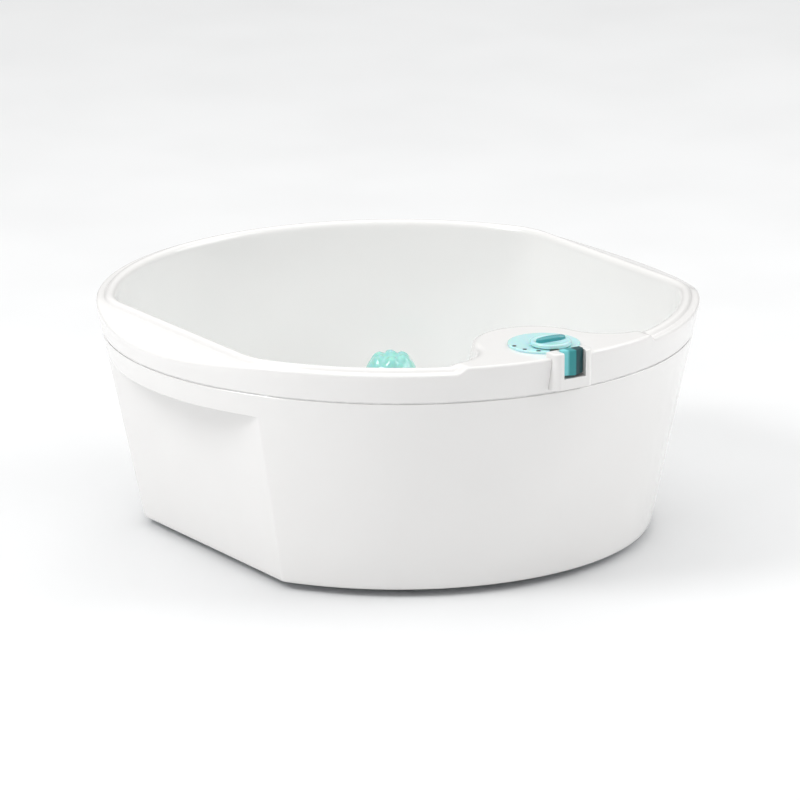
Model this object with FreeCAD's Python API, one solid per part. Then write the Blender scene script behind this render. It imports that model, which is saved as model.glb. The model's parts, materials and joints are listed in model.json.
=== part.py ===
"""Foot spa basin: a round tub with two flat sides, carrying ledges and a raised control deck.

Frame: millimetres, +Z up, origin on the floor under the centre of the tub. The control deck is at -Y,
the mains inlet at +Y, and the two carrying ledges stand out along -X and +X.
"""
import FreeCAD, Part
import math
import os

os.makedirs("parts", exist_ok=True)
V = FreeCAD.Vector
X_AXIS, Y_AXIS, Z_AXIS = V(1, 0, 0), V(0, 1, 0), V(0, 0, 1)
SIDES = (-1, 1)
SIDE_NAME = {-1: "left", 1: "right"}

# Heights above the floor
FOOT_H = 6.0
LIP_Z = 145.0
SEAM_Z = 164.0
GASKET_T = 1.0
RIM_Z = 188.0
DECK_Z = 193.0
FLOOR_Z = 44.0

# Outer wall: a cone with two leaning flats
BASE_R = 203.0
LEAN = 0.204
FLAT_X = 175.0
FLAT_LEAN = 0.2
CORNER_FILLET = 8.0
WALL = 3.0
LIP_T, LIP_INSET = 4.0, 0.4
FLANGE_T = 3.0
FLANGE_W = 14.0
COVER_T = 3.0
COVER_GAP = 0.4
VENT_HALF_W, VENT_HALF_L, VENT_STEP, VENTS = 25.0, 1.5, 8.0, 5

# Rim, ledges and deck
SKIRT_Z = SEAM_Z + GASKET_T
LEDGE_X = 206.0
LEDGE_SLOPE = 0.28
DECK_Y = 225.0
DECK_R = 86.0
DECK_SPREAD = 8.0
BEAD_W = 9.0
BEAD_H = 3.0
LIP_DROP, LIP_FLARE = 1.0, 3.5

# Bowl: a circle with two straight sides, pushed in at the front by the deck's bump
BOWL_R = 224.0
BOWL_FLAT_X = 199.0
BOWL_CORNER_R = 60.0
BUMP_Y = 190.0
BUMP_R = 48.0
EAR_R = 40.0
BOWL_DRAFT = 0.2
FLOOR_FILLET = 18.0

# Centre pillar and its massage cap
PILLAR_R0, PILLAR_R1 = 30.0, 21.0
PILLAR_Y, PILLAR_Z = 10.0, 117.0
POST_R, POST_H = 11.0, 9.0
CAP_R, CAP_TOP = 20.5, 139.0
CAP_GAP = 0.3
CAP_NUBS, CAP_NUB_R, CAP_NUB_RING = 6, 2.8, 13.0

# Foot rollers
CRADLE_X, CRADLE_Y = 92.0, 12.0
CRADLE_W, CRADLE_L, CRADLE_T = 100.0, 130.0, 3.0
ROLLER_OFFSET_Y = 38.0
ROLLER_Z = FLOOR_Z + 17.0
ROLLER_LEN, ROLLER_CORE_R = 84.0, 9.4
NUB_R, NUB_RINGS, NUBS_PER_RING, NUB_PHASE = 3.2, 5, 7, 0.25
AXLE_R, AXLE_LEN = 3.0, 96.0
RUN = 0.06
CHEEK_T, CHEEK_R = 4.0, 8.0

# Bubble panels and air line
PANEL_X, PANEL_Y = 80.0, -83.0
PANEL_W, PANEL_L, PANEL_T = 90.0, 22.0, 3.0
SPIGOT_R, SPIGOT_BORE, SPIGOT_Z = 5.0, 3.0, 34.0
HOSE_R, HOSE_BORE = 6.5, 5.05
AIR_Z = 25.0
TEE_Y, TEE_SOCKET_Y, TEE_ARM = -120.0, -140.0, 18.0
TEE_HUB_R, AIR_BORE = 7.0, 3.5

# Blower
BLOWER_Y = -170.0
BLOWER_R, BLOWER_Z, BLOWER_H = 27.0, 14.0, 26.0
FAN_R, FAN_HUB_R, BLADES, BLADE_T = 22.0, 6.0, 9, 1.4
EAR_REACH, BLOWER_EAR_R = 6.0, 5.0
PORTS, PORT_R, PORT_RING = 8, 2.5, 19.0
MOTOR_R, MOTOR_H = 14.0, 30.0
SHAFT_R = 1.5

# Heater and vibration motor
HEAT_PLATE_R0, HEAT_PLATE_R1, HEAT_PLATE_T = 70.0, 106.0, 1.5
HEATER_R, HEATER_TUBE = 99.0, 3.2
COLD_END_GAP = 12.0
CLIP_ANGLES = (30, 150, 210, 330)
SENSOR_R = 83.0
SHAKER_R, SHAKER_Z0, SHAKER_Z1 = 12.0, 62.0, 96.0

# Dial, knob and rocker
DIAL_Y, KNOB_Y = -203.0, -212.0
DIAL_R, DIAL_T, DIAL_HOLE_R = 28.0, 2.0, 9.5
KNOB_R, KNOB_Z0, KNOB_Z1 = 16.0, 195.6, 199.0
GRIP_L, GRIP_W, GRIP_Z = 27.0, 8.0, 202.0
BUSHING_R, KNOB_BORE_R = 5.0, 3.0
SHAFT_TOP_Z, KNOB_RECESS = 200.0, 1.6
SWITCH_W, SWITCH_H, SWITCH_TAG_X = 18.0, 14.0, 6.0
NUT_FLATS, NUT_H = 6.5, 2.4
BEZEL_X, BEZEL_Y0, BEZEL_Y1 = 18.0, -245.0, -232.0
BEZEL_Z0, BEZEL_Z1 = 168.0, 197.0
ROCKER_X, ROCKER_Z0, ROCKER_Z1 = 9.5, 178.5, 198.5
ROCKER_EDGE_Y, ROCKER_NOSE_Y, ROCKER_BACK_Y = -242.2, -246.0, -236.5
SLOT_SIDE_GAP, SLOT_BACK_GAP, SLOT_FOOT_GAP = 0.5, 2.4, 2.0
PIVOT_Y, PIVOT_Z, PIN_R, PIN_LEN = -239.5, 188.0, 1.5, 28.0
ROCKER_CASE_T, ROCKER_TAG_L = 9.0, 6.0

# Fasteners and feet
SCREW_R, PILOT_R, HEAD_R, HEAD_H = 1.6, 1.65, 3.5, 2.2
LEG_XY, LEG_R = 105.0, 6.0
FOOT_XY, FOOT_R = 118.0, 12.0

# Mains inlet and electronics
INLET_X, INLET_Z0, INLET_Z1, INLET_DEPTH = 16.0, 15.0, 37.0, 22.0
SOCKET_DEPTH, SOCKET_R, PIN_PITCH = 16.0, 6.0, 8.6
BOARD_Y, BOARD_W, BOARD_L, BOARD_Z, BOARD_T = 146.0, 80.0, 44.0, 14.0, 1.6
HARNESS_R, HARNESS_RING_R = 3.0, 163.0


# ---------- helpers ----------

def save(name, *solids):
    """Writes one node: a single solid, or a group of separate ones."""
    shape = solids[0] if len(solids) == 1 else Part.makeCompound(list(solids))
    if shape.ShapeType == "Compound" and len(shape.Solids) == 1:
        shape = shape.Solids[0]
    shape.exportStep("parts/" + name + ".step")
    bad = "" if shape.isValid() else "  INVALID"
    print(name, len(shape.Solids), round(shape.Volume / 1000, 2), "cm3" + bad)


def join(first, *others):
    return first.multiFuse(list(others)).removeSplitter()


def cyl(r, z0, z1, x=0.0, y=0.0):
    return Part.makeCylinder(r, z1 - z0, V(x, y, z0))


def rod(r, length, start, direction):
    return Part.makeCylinder(r, length, start, direction)


def cone(r0, r1, z0, z1, x=0.0, y=0.0):
    return Part.makeCone(r0, r1, z1 - z0, V(x, y, z0))


def block(x0, x1, y0, y1, z0, z1):
    return Part.makeBox(x1 - x0, y1 - y0, z1 - z0, V(x0, y0, z0))


def ring(r_out, r_in, z0, z1, x=0.0, y=0.0):
    return cyl(r_out, z0, z1, x, y).cut(cyl(r_in, z0 - 1, z1 + 1, x, y))


def prism(points, direction):
    """Extrudes the closed polygon through the points."""
    return Part.Face(Part.makePolygon(points + [points[0]])).extrude(direction)


def turned(profile):
    """Revolves a closed (radius, height) polygon about the Z axis."""
    points = [V(r, 0, z) for r, z in profile]
    face = Part.Face(Part.makePolygon(points + [points[0]]))
    return face.revolve(V(0, 0, 0), Z_AXIS, 360)


def edges_at(shape, z):
    """Edges that lie flat at height z."""
    return [e for e in shape.Edges if abs(e.BoundBox.ZMin - z) < 0.01 and abs(e.BoundBox.ZMax - z) < 0.01]


def rounded_path(points, share=0.45):
    """A wire of straight runs joined by tangent arcs."""
    edges, start = [], points[0]
    for before, corner, after in zip(points, points[1:], points[2:]):
        reach = share * min((corner - before).Length, (after - corner).Length)
        back, ahead = (before - corner).normalize(), (after - corner).normalize()
        half = back.getAngle(ahead) / 2
        inward = (back + ahead).normalize()
        first, last = corner + back * reach, corner + ahead * reach
        middle = corner + inward * (reach / math.cos(half) - reach * math.tan(half))
        edges.append(Part.LineSegment(start, first).toShape())
        edges.append(Part.Arc(first, middle, last).toShape())
        start = last
    edges.append(Part.LineSegment(start, points[-1]).toShape())
    return Part.Wire(edges)


def swept(points, radius):
    path = rounded_path(points)
    profile = Part.Wire(Part.makeCircle(radius, points[0], points[1] - points[0]))
    return path.makePipeShell([profile], True, False)


# ---------- outer wall ----------

def wall_r(z):
    return BASE_R + (z - FOOT_H) * LEAN


def wall_cone(z0, z1, inset=0.0):
    return cone(wall_r(z0) - inset, wall_r(z1) - inset, z0, z1)


def between_flats(z0, z1, inset=0.0):
    """The slab between the two leaning flats."""
    reach = BASE_R * 2
    low = FLAT_X + (z0 - FOOT_H) * FLAT_LEAN - inset
    high = FLAT_X + (z1 - FOOT_H) * FLAT_LEAN - inset
    outline = [V(-low, -reach, z0), V(low, -reach, z0), V(high, -reach, z1), V(-high, -reach, z1)]
    return prism(outline, V(0, 2 * reach, 0))


def wall_core(z0, z1, inset=0.0):
    """Cone cut by the flats, with its four upright corners rounded."""
    core = wall_cone(z0, z1, inset).common(between_flats(z0, z1, inset))
    upright = [e for e in core.Edges if e.BoundBox.ZLength > (z1 - z0) * 0.9]
    return core.makeFillet(max(CORNER_FILLET - inset, CORNER_FILLET / 4), upright)


def cover_screw_places():
    """Four screws on the round walls and four beside the flats."""
    radius, angle = BASE_R - FLANGE_W + 3, math.radians(60)
    x, y = radius * math.cos(angle), radius * math.sin(angle)
    round_part = [(sx * x, sy * y) for sx in SIDES for sy in SIDES]
    flat_part = [(sx * (FLAT_X - FLANGE_W + 4), sy * 55) for sx in SIDES for sy in SIDES]
    return round_part + flat_part


def leg_places():
    return [(sx * LEG_XY, sy * LEG_XY) for sx in SIDES for sy in SIDES]


def finger_recesses():
    """The two wedges behind the lips, open downwards."""
    top = SEAM_Z - 2 * WALL
    return wall_cone(LIP_Z, top, LIP_T).cut(between_flats(LIP_Z, top))


def base_shell():
    """Outer wall with a lip over each flat, an inner flange for the cover, and its screw bosses."""
    flange_z = FOOT_H + COVER_T
    web_z = SEAM_Z - WALL
    body = wall_core(FOOT_H, SEAM_Z).fuse(wall_cone(LIP_Z, SEAM_Z, LIP_INSET))
    body = body.cut(finger_recesses())
    body = body.cut(wall_core(flange_z + FLANGE_T, web_z, WALL))
    body = body.cut(wall_cone(web_z - 1, SEAM_Z, LIP_T))
    body = body.cut(wall_core(FOOT_H, flange_z, WALL))
    body = body.cut(wall_core(flange_z, flange_z + FLANGE_T, WALL + FLANGE_W))
    bosses = [cyl(HEAD_R + 1, flange_z + 1, flange_z + 13, x, y) for x, y in cover_screw_places()]
    body = body.multiFuse(bosses)
    for x, y in cover_screw_places():
        body = body.cut(cyl(PILOT_R, flange_z - 1, flange_z + 11, x, y))
    return body.cut(inlet_window())


def inlet_window():
    return block(-INLET_X - 0.2, INLET_X + 0.2, BASE_R - 25, BASE_R + 40, INLET_Z0 - 0.2, INLET_Z1 + 0.2)


def rim_gasket():
    return wall_cone(SEAM_Z, SKIRT_Z, 0.8).cut(wall_cone(SEAM_Z, SKIRT_Z, WALL))


def bottom_cover():
    top = FOOT_H + COVER_T
    plate = wall_core(FOOT_H, top, WALL + COVER_GAP)
    stands = [cyl(3.0, top - 1, BOARD_Z, x, y) for x, y in board_screw_places()]
    rib = ring(62, 60, top - 1, top + 5)
    plate = plate.multiFuse(stands + [rib])
    holes = [cyl(SCREW_R + 0.3, 0, 30, x, y) for x, y in cover_screw_places() + leg_places()]
    holes += [cyl(4.1, 0, 30, sx * FOOT_XY, sy * FOOT_XY) for sx in SIDES for sy in SIDES]
    holes += [cyl(PILOT_R, 0, 30, x, y) for x, y in board_screw_places() + blower_ear_places()]
    for i in range(VENTS):
        y = (i - (VENTS - 1) / 2) * VENT_STEP
        holes.append(block(-VENT_HALF_W, VENT_HALF_W, y - VENT_HALF_L, y + VENT_HALF_L, 0, 30))
    return plate.cut(Part.makeCompound(holes))


def rubber_foot(x, y):
    top = FOOT_H + COVER_T
    profile = [(0, 0), (FOOT_R - 1, 0), (FOOT_R, 1), (FOOT_R - 1.5, FOOT_H), (4.05, FOOT_H),
               (4.05, top + 0.1), (5.2, top + 0.1), (4.0, top + 3), (0, top + 3)]
    return turned(profile).translate(V(x, y, 0))


def pan_screw(x, y, length):
    """A screw driven upwards through the bottom cover."""
    profile = [(0, FOOT_H - HEAD_H), (HEAD_R - 1, FOOT_H - HEAD_H), (HEAD_R, FOOT_H - 1), (HEAD_R, FOOT_H),
               (SCREW_R, FOOT_H), (SCREW_R, FOOT_H + length - 1.5), (0, FOOT_H + length)]
    cross = block(-2, 2, -0.4, 0.4, FOOT_H - HEAD_H - 1, FOOT_H - HEAD_H + 1)
    cross = cross.fuse(block(-0.4, 0.4, -2, 2, FOOT_H - HEAD_H - 1, FOOT_H - HEAD_H + 1))
    return turned(profile).cut(cross).translate(V(x, y, 0))


# ---------- tub ----------

def bowl_outline(inset, z):
    """Plan of the bowl: twelve tangent edges, one radius each, from the deck's bump round to itself."""
    big, flat, bump = BOWL_R - inset, BOWL_FLAT_X - inset, BUMP_R + inset
    to_ear, bump_to_ear = big - EAR_R, bump + EAR_R
    ear_y = -(to_ear ** 2 + BUMP_Y ** 2 - bump_to_ear ** 2) / (2 * BUMP_Y)
    ear = V(math.sqrt(to_ear ** 2 - ear_y ** 2), ear_y, 0)
    bump_centre = V(0, -BUMP_Y, 0)
    corner_x, to_corner = flat - BOWL_CORNER_R, big - BOWL_CORNER_R
    corner = V(corner_x, -math.sqrt(to_corner ** 2 - corner_x ** 2), 0)
    on_bump = bump_centre + (ear - bump_centre) * (bump / bump_to_ear)
    off_ear = ear * (big / to_ear)
    on_corner = corner * (big / to_corner)
    on_flat = V(flat, corner.y, 0)

    def arc(centre, start, end):
        radius = (start - centre).Length
        middle = centre + ((start - centre) + (end - centre)).normalize() * radius
        return start, middle, end

    half = [arc(ear, on_bump, off_ear), arc(V(0, 0, 0), off_ear, on_corner), arc(corner, on_corner, on_flat)]
    back = [tuple(V(p.x, -p.y, 0) for p in reversed(half[2]))]
    right = half + [(on_flat, V(flat, -corner.y, 0))] + back
    left = [tuple(V(-p.x, p.y, 0) for p in reversed(piece)) for piece in reversed(right)]
    front = (V(-on_bump.x, on_bump.y, 0), V(0, bump - BUMP_Y, 0), on_bump)
    rear = (right[-1][-1], V(0, big, 0), left[0][0])
    edges = []
    for piece in [front] + right + [rear] + left:
        points = [V(p.x, p.y, z) for p in piece]
        curve = Part.Arc(*points) if len(points) == 3 else Part.LineSegment(*points)
        edges.append(curve.toShape())
    return Part.Wire(edges)


def bowl_inset(z):
    return (RIM_Z - z) * BOWL_DRAFT


def bowl_loft(levels, fillet):
    """Ruled solid through the bowl's outline at each (height, inset), rounded where it meets the floor."""
    solid = Part.makeLoft([bowl_outline(inset, z) for z, inset in levels], True, True)
    return solid.makeFillet(fillet, edges_at(solid, levels[0][0]))


def bowl_space():
    """The space inside the bowl; its edge opens outwards over the height of the bead."""
    lip_z, above = RIM_Z - LIP_DROP, DECK_Z + 8
    levels = [(FLOOR_Z, bowl_inset(FLOOR_Z)), (lip_z, bowl_inset(lip_z)),
              (RIM_Z + BEAD_H + 0.5, -LIP_FLARE), (above, -LIP_FLARE)]
    return bowl_loft(levels, FLOOR_FILLET)


def bowl_outside():
    """The bowl's outer surface, one wall away from the space inside."""
    low, high = FLOOR_Z - WALL, DECK_Z + 8
    levels = [(low, bowl_inset(low) - WALL), (high, bowl_inset(high) - WALL)]
    return bowl_loft(levels, FLOOR_FILLET + WALL)


def ledge_cutter(side, inset):
    """Everything above the sloping top of a carrying ledge."""
    reach, width = BASE_R, 60.0
    crease = V(side * LEDGE_X, -reach, RIM_Z - inset)
    outer = V(side * (LEDGE_X + width), -reach, RIM_Z - inset - width * LEDGE_SLOPE)
    above = V(0, 0, 80)
    return prism([crease, outer, outer + above, crease + above], V(0, 2 * reach, 0))


def rim_block(inset):
    """Rim, ledges and deck as one closed lump, pulled in all round by the inset."""
    lump = wall_cone(SKIRT_Z, RIM_Z - inset, inset)
    for side in SIDES:
        lump = lump.cut(ledge_cutter(side, inset))
    foot_z = RIM_Z - 4 - inset
    deck = cone(DECK_R + DECK_SPREAD - inset, DECK_R - inset, foot_z, DECK_Z - inset, 0, -DECK_Y)
    deck = deck.common(wall_cone(SKIRT_Z, DECK_Z - inset, inset))
    return lump.fuse(deck)


def bead_ring():
    """The raised round-edged ring on the rim, just outside the bowl."""
    low, high = RIM_Z - 2, RIM_Z + BEAD_H
    solid = Part.Face(bowl_outline(-BEAD_W, low)).extrude(V(0, 0, high - low))
    return solid.makeFillet(BEAD_H - 0.5, edges_at(solid, high))


def upper_tub():
    under = FLOOR_Z - WALL
    rim = rim_block(0).cut(rim_block(WALL))
    clip = wall_cone(FOOT_H, RIM_Z, WALL).fuse(rim_block(0))
    tub = rim.multiFuse([bead_ring(), bowl_outside().common(clip)])
    tub = tub.cut(bowl_space())
    pillar = cone(PILLAR_R0, PILLAR_R1, under, PILLAR_Z, 0, PILLAR_Y)
    post = cyl(POST_R, PILLAR_Z - 1, PILLAR_Z + POST_H, 0, PILLAR_Y)
    legs = [cyl(LEG_R, FOOT_H + COVER_T, under + 1, x, y) for x, y in leg_places()]
    tub = tub.multiFuse([pillar, post] + legs)
    holes = [cone(PILLAR_R0 - WALL, PILLAR_R1 - WALL, under - 1, PILLAR_Z - WALL, 0, PILLAR_Y)]
    holes += [cyl(PILOT_R, 0, FOOT_H + 20, x, y) for x, y in leg_places()]
    holes += [cyl(SPIGOT_R + 0.1, under - 5, FLOOR_Z + 5, s * PANEL_X, PANEL_Y) for s in SIDES]
    holes += [cyl(BUSHING_R + 0.2, DECK_Z - 10, DECK_Z + 5, 0, KNOB_Y)]
    holes += [block(-BEZEL_X - 0.2, BEZEL_X + 0.2, -300, BEZEL_Y1 + 0.2, BEZEL_Z0 - 0.2, DECK_Z + 20)]
    for hole in holes:
        tub = tub.cut(hole)
    return tub


# ---------- massage fittings in the bowl ----------

def massage_cap():
    """A soft domed cap with nubs, which lifts off the pillar's post."""
    low = PILLAR_Z + CAP_GAP
    rise = CAP_TOP - low - 5
    ball_r = (CAP_R ** 2 + rise ** 2) / (2 * rise)
    body = cyl(CAP_R, low, CAP_TOP)
    body = body.makeFillet(1.0, edges_at(body, low))
    dome = body.common(Part.makeSphere(ball_r, V(0, 0, CAP_TOP - ball_r)))
    nubs = []
    for i in range(CAP_NUBS):
        angle = 2 * math.pi * i / CAP_NUBS
        spot = V(CAP_NUB_RING * math.cos(angle), CAP_NUB_RING * math.sin(angle), CAP_TOP - 5.2)
        nubs.append(Part.makeSphere(CAP_NUB_R, spot))
    dome = dome.multiFuse(nubs)
    dome = dome.cut(cyl(POST_R + CAP_GAP, low - 1, PILLAR_Z + POST_H + CAP_GAP))
    return dome.translate(V(0, PILLAR_Y, 0))


def cradle(side):
    """Snap-in tray that holds two roller axles between its cheeks."""
    cx, top = side * CRADLE_X, FLOOR_Z + CRADLE_T
    plate = block(cx - CRADLE_W / 2, cx + CRADLE_W / 2, CRADLE_Y - CRADLE_L / 2, CRADLE_Y + CRADLE_L / 2,
                  FLOOR_Z, top)
    upright = [e for e in plate.Edges if e.BoundBox.ZLength > CRADLE_T / 2]
    tray = plate.makeFillet(12, upright)
    slots = [block(cx - 30, cx + 30, y - 10, y + 10, FLOOR_Z - 1, top + 1) for y in roller_ys()]
    tray = tray.cut(Part.makeCompound(slots))
    cheeks = []
    for y in roller_ys():
        for end in SIDES:
            x = cx + end * (AXLE_LEN / 2 - CHEEK_T / 2)
            foot = block(x - CHEEK_T / 2, x + CHEEK_T / 2, y - CHEEK_R, y + CHEEK_R, top - 1, ROLLER_Z)
            head = rod(CHEEK_R, CHEEK_T, V(x - CHEEK_T / 2, y, ROLLER_Z), X_AXIS)
            cheeks += [foot, head]
    tray = tray.multiFuse(cheeks)
    for y in roller_ys():
        tray = tray.cut(rod(AXLE_R, CRADLE_W, V(cx - CRADLE_W / 2, y, ROLLER_Z), X_AXIS))
    return tray


def roller_ys():
    return [CRADLE_Y - ROLLER_OFFSET_Y, CRADLE_Y + ROLLER_OFFSET_Y]


def roller(side, y):
    """A foot roller: rings of round nubs on a core, with a bore for its axle."""
    x0 = side * CRADLE_X - ROLLER_LEN / 2
    core = rod(ROLLER_CORE_R, ROLLER_LEN, V(x0, y, ROLLER_Z), X_AXIS)
    core = core.makeFillet(1.5, [e for e in core.Edges if e.BoundBox.XLength < 0.01])
    nubs = []
    for ring_no in range(NUB_RINGS):
        x = x0 + ROLLER_LEN * (ring_no + 0.5) / NUB_RINGS
        for i in range(NUBS_PER_RING):
            angle = 2 * math.pi * (i + 0.5 * (ring_no % 2) + NUB_PHASE) / NUBS_PER_RING
            spot = V(x, y + ROLLER_CORE_R * math.cos(angle), ROLLER_Z + ROLLER_CORE_R * math.sin(angle))
            nubs.append(Part.makeSphere(NUB_R, spot))
    return core.multiFuse(nubs).cut(rod(AXLE_R + RUN, ROLLER_LEN + 2, V(x0 - 1, y, ROLLER_Z), X_AXIS))


def roller_axle(side, y):
    axle = rod(AXLE_R, AXLE_LEN, V(side * CRADLE_X - AXLE_LEN / 2, y, ROLLER_Z), X_AXIS)
    return axle.makeChamfer(0.5, [e for e in axle.Edges if e.BoundBox.XLength < 0.01])


def bubble_panel(side):
    """Perforated strip on the bowl's floor, with a spigot down to the air line."""
    cx, top = side * PANEL_X, FLOOR_Z + PANEL_T
    half_w, half_l = PANEL_W / 2, PANEL_L / 2
    plate = block(cx - half_w, cx + half_w, PANEL_Y - half_l, PANEL_Y + half_l, FLOOR_Z, top)
    plate = plate.makeFillet(8, [e for e in plate.Edges if e.BoundBox.ZLength > PANEL_T / 2])
    plate = plate.makeFillet(1, edges_at(plate, top))
    panel = plate.fuse(cyl(SPIGOT_R, SPIGOT_Z, FLOOR_Z + 1, cx, PANEL_Y))
    groove = block(cx - 38, cx + 38, PANEL_Y - 7, PANEL_Y + 7, FLOOR_Z - 0.5, FLOOR_Z + 1.5)
    cuts = [groove.cut(cyl(SPIGOT_R, SPIGOT_Z, top, cx, PANEL_Y))]
    cuts.append(block(cx - 38, cx + 38, PANEL_Y - 1.5, PANEL_Y + 1.5, FLOOR_Z + 0.2, FLOOR_Z + 1.5))
    cuts.append(cyl(SPIGOT_BORE, SPIGOT_Z - 1, FLOOR_Z + 1.5, cx, PANEL_Y))
    for row in SIDES:
        cuts += [cyl(1.0, FLOOR_Z, top + 1, cx + 9 * i + 2.2 * row, PANEL_Y + 4 * row) for i in range(-3, 4)]
    return panel.cut(Part.makeCompound(cuts))


# ---------- controls ----------

def dial_plate():
    """Round plate on the deck behind the rocker; its hole, and so the knob, is set towards the front."""
    plate = cyl(DIAL_R, DECK_Z, DECK_Z + DIAL_T, 0, DIAL_Y)
    plate = plate.makeFillet(0.8, edges_at(plate, DECK_Z + DIAL_T))
    return plate.cut(cyl(DIAL_HOLE_R, DECK_Z - 1, DECK_Z + DIAL_T + 1, 0, KNOB_Y))


def function_knob():
    """Flat disc with a raised grip bar; the bar points along -X at rest."""
    disc = cyl(KNOB_R, KNOB_Z0, KNOB_Z1, 0, KNOB_Y)
    disc = disc.makeFillet(1.5, edges_at(disc, KNOB_Z1))
    reach = (GRIP_L - GRIP_W) / 2
    bar = block(-reach, reach, KNOB_Y - GRIP_W / 2, KNOB_Y + GRIP_W / 2, KNOB_Z1 - 1, GRIP_Z)
    bar = join(bar, *[cyl(GRIP_W / 2, KNOB_Z1 - 1, GRIP_Z, s * reach, KNOB_Y) for s in SIDES])
    bar = bar.makeFillet(1.2, edges_at(bar, GRIP_Z))
    knob = disc.fuse(bar)
    knob = knob.cut(cyl(DIAL_HOLE_R - 0.5, KNOB_Z0 - 1, KNOB_Z0 + KNOB_RECESS, 0, KNOB_Y))
    return knob.cut(cyl(KNOB_BORE_R + 0.02, KNOB_Z0 - 1, SHAFT_TOP_Z + 0.1, 0, KNOB_Y))


def switch_shaft():
    return cyl(KNOB_BORE_R, DECK_Z - 14, SHAFT_TOP_Z, 0, KNOB_Y)


def rotary_switch():
    """Square case under the deck, with a bushing up through it and three solder tags below."""
    top, half = DECK_Z - WALL, SWITCH_W / 2
    low = top - SWITCH_H
    case = block(-half, half, KNOB_Y - half, KNOB_Y + half, low, top)
    case = case.fuse(cyl(BUSHING_R, top - 1, DECK_Z + 3, 0, KNOB_Y))
    tags = [block(x - 1, x + 1, KNOB_Y + 6, KNOB_Y + 6.8, low - 8, low + 0.5)
            for x in (-SWITCH_TAG_X, 0, SWITCH_TAG_X)]
    case = case.multiFuse(tags)
    return case.cut(cyl(KNOB_BORE_R + RUN, DECK_Z - 14, DECK_Z + 5, 0, KNOB_Y))


def switch_nut():
    corner = NUT_FLATS / math.cos(math.pi / 6)
    turns = [math.pi / 3 * i for i in range(6)]
    points = [V(corner * math.cos(turn), KNOB_Y + corner * math.sin(turn), DECK_Z) for turn in turns]
    return prism(points, V(0, 0, NUT_H)).cut(cyl(BUSHING_R, DECK_Z - 1, DECK_Z + 5, 0, KNOB_Y))


def rocker_bezel():
    """White nose on the deck's front edge, with cheeks each side of the rocker."""
    nose = block(-BEZEL_X, BEZEL_X, BEZEL_Y0, BEZEL_Y1, BEZEL_Z0, BEZEL_Z1)
    upright = [e for e in nose.Edges if e.BoundBox.ZLength > 10 and e.BoundBox.YMax < BEZEL_Y0 + 1]
    nose = nose.makeFillet(6, upright)
    nose = nose.makeFillet(1.5, edges_at(nose, BEZEL_Z1))
    slot_x = ROCKER_X + SLOT_SIDE_GAP
    nose = nose.cut(block(-slot_x, slot_x, BEZEL_Y0 - 5, ROCKER_BACK_Y + SLOT_BACK_GAP,
                          ROCKER_Z0 - SLOT_FOOT_GAP, BEZEL_Z1 + 5))
    return nose.cut(rod(PIN_R, PIN_LEN, V(-PIN_LEN / 2, PIVOT_Y, PIVOT_Z), X_AXIS))


def power_rocker():
    """Paddle with a two-facet face, which rocks on a pin between the cheeks."""
    outline = [V(-ROCKER_X, ROCKER_BACK_Y, ROCKER_Z0), V(-ROCKER_X, ROCKER_EDGE_Y, ROCKER_Z0),
               V(0, ROCKER_NOSE_Y, ROCKER_Z0), V(ROCKER_X, ROCKER_EDGE_Y, ROCKER_Z0),
               V(ROCKER_X, ROCKER_BACK_Y, ROCKER_Z0)]
    paddle = prism(outline, V(0, 0, ROCKER_Z1 - ROCKER_Z0))
    paddle = paddle.makeFillet(1.2, edges_at(paddle, ROCKER_Z1))
    return paddle.cut(rod(PIN_R + RUN, PIN_LEN, V(-PIN_LEN / 2, PIVOT_Y, PIVOT_Z), X_AXIS))


def rocker_pin():
    return rod(PIN_R, PIN_LEN, V(-PIN_LEN / 2, PIVOT_Y, PIVOT_Z), X_AXIS)


def rocker_switch():
    """Slim case behind the bezel with two solder tags, which end short of the rotary switch."""
    back = BEZEL_Y1 + ROCKER_CASE_T
    case = block(-10, 10, BEZEL_Y1, back, BEZEL_Z0 + 2, BEZEL_Z0 + 20)
    tag_z = BEZEL_Z0 + 4
    tags = [block(x - 2.4, x + 2.4, back - 1, back + ROCKER_TAG_L, tag_z, tag_z + 0.8) for x in (-6, 6)]
    return case.multiFuse(tags)


# ---------- air line ----------

def blower_ear_places():
    return [(side * (BLOWER_R + EAR_REACH), BLOWER_Y) for side in SIDES]


def blower_housing():
    """Round cup with two screw ears and an air nozzle towards the tee."""
    top = BLOWER_Z + BLOWER_H
    cup = cyl(BLOWER_R, BLOWER_Z, top, 0, BLOWER_Y)
    ears = []
    for x, y in blower_ear_places():
        ears.append(cyl(BLOWER_EAR_R, BLOWER_Z, BLOWER_Z + 3, x, y))
        ears.append(block(min(x, 0), max(x, 0), y - BLOWER_EAR_R, y + BLOWER_EAR_R, BLOWER_Z, BLOWER_Z + 3))
    nozzle = rod(SPIGOT_R, 36, V(0, BLOWER_Y, AIR_Z), Y_AXIS)
    cup = cup.multiFuse(ears + [nozzle])
    cup = cup.cut(cyl(BLOWER_R - 2, BLOWER_Z + 2, top + 1, 0, BLOWER_Y))
    cup = cup.cut(rod(AIR_BORE, 40, V(0, BLOWER_Y, AIR_Z), Y_AXIS))
    for x, y in blower_ear_places():
        cup = cup.cut(cyl(SCREW_R + 0.3, 0, 30, x, y))
    return cup


def blower_cover():
    top = BLOWER_Z + BLOWER_H
    lid = cyl(BLOWER_R, top, top + 2, 0, BLOWER_Y)
    lid = lid.cut(cyl(3, top - 1, top + 5, 0, BLOWER_Y))
    ports = []
    for i in range(PORTS):
        angle = 2 * math.pi * i / PORTS
        x, y = PORT_RING * math.cos(angle), BLOWER_Y + PORT_RING * math.sin(angle)
        ports.append(cyl(PORT_R, top - 1, top + 5, x, y))
    return lid.cut(Part.makeCompound(ports))


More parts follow.
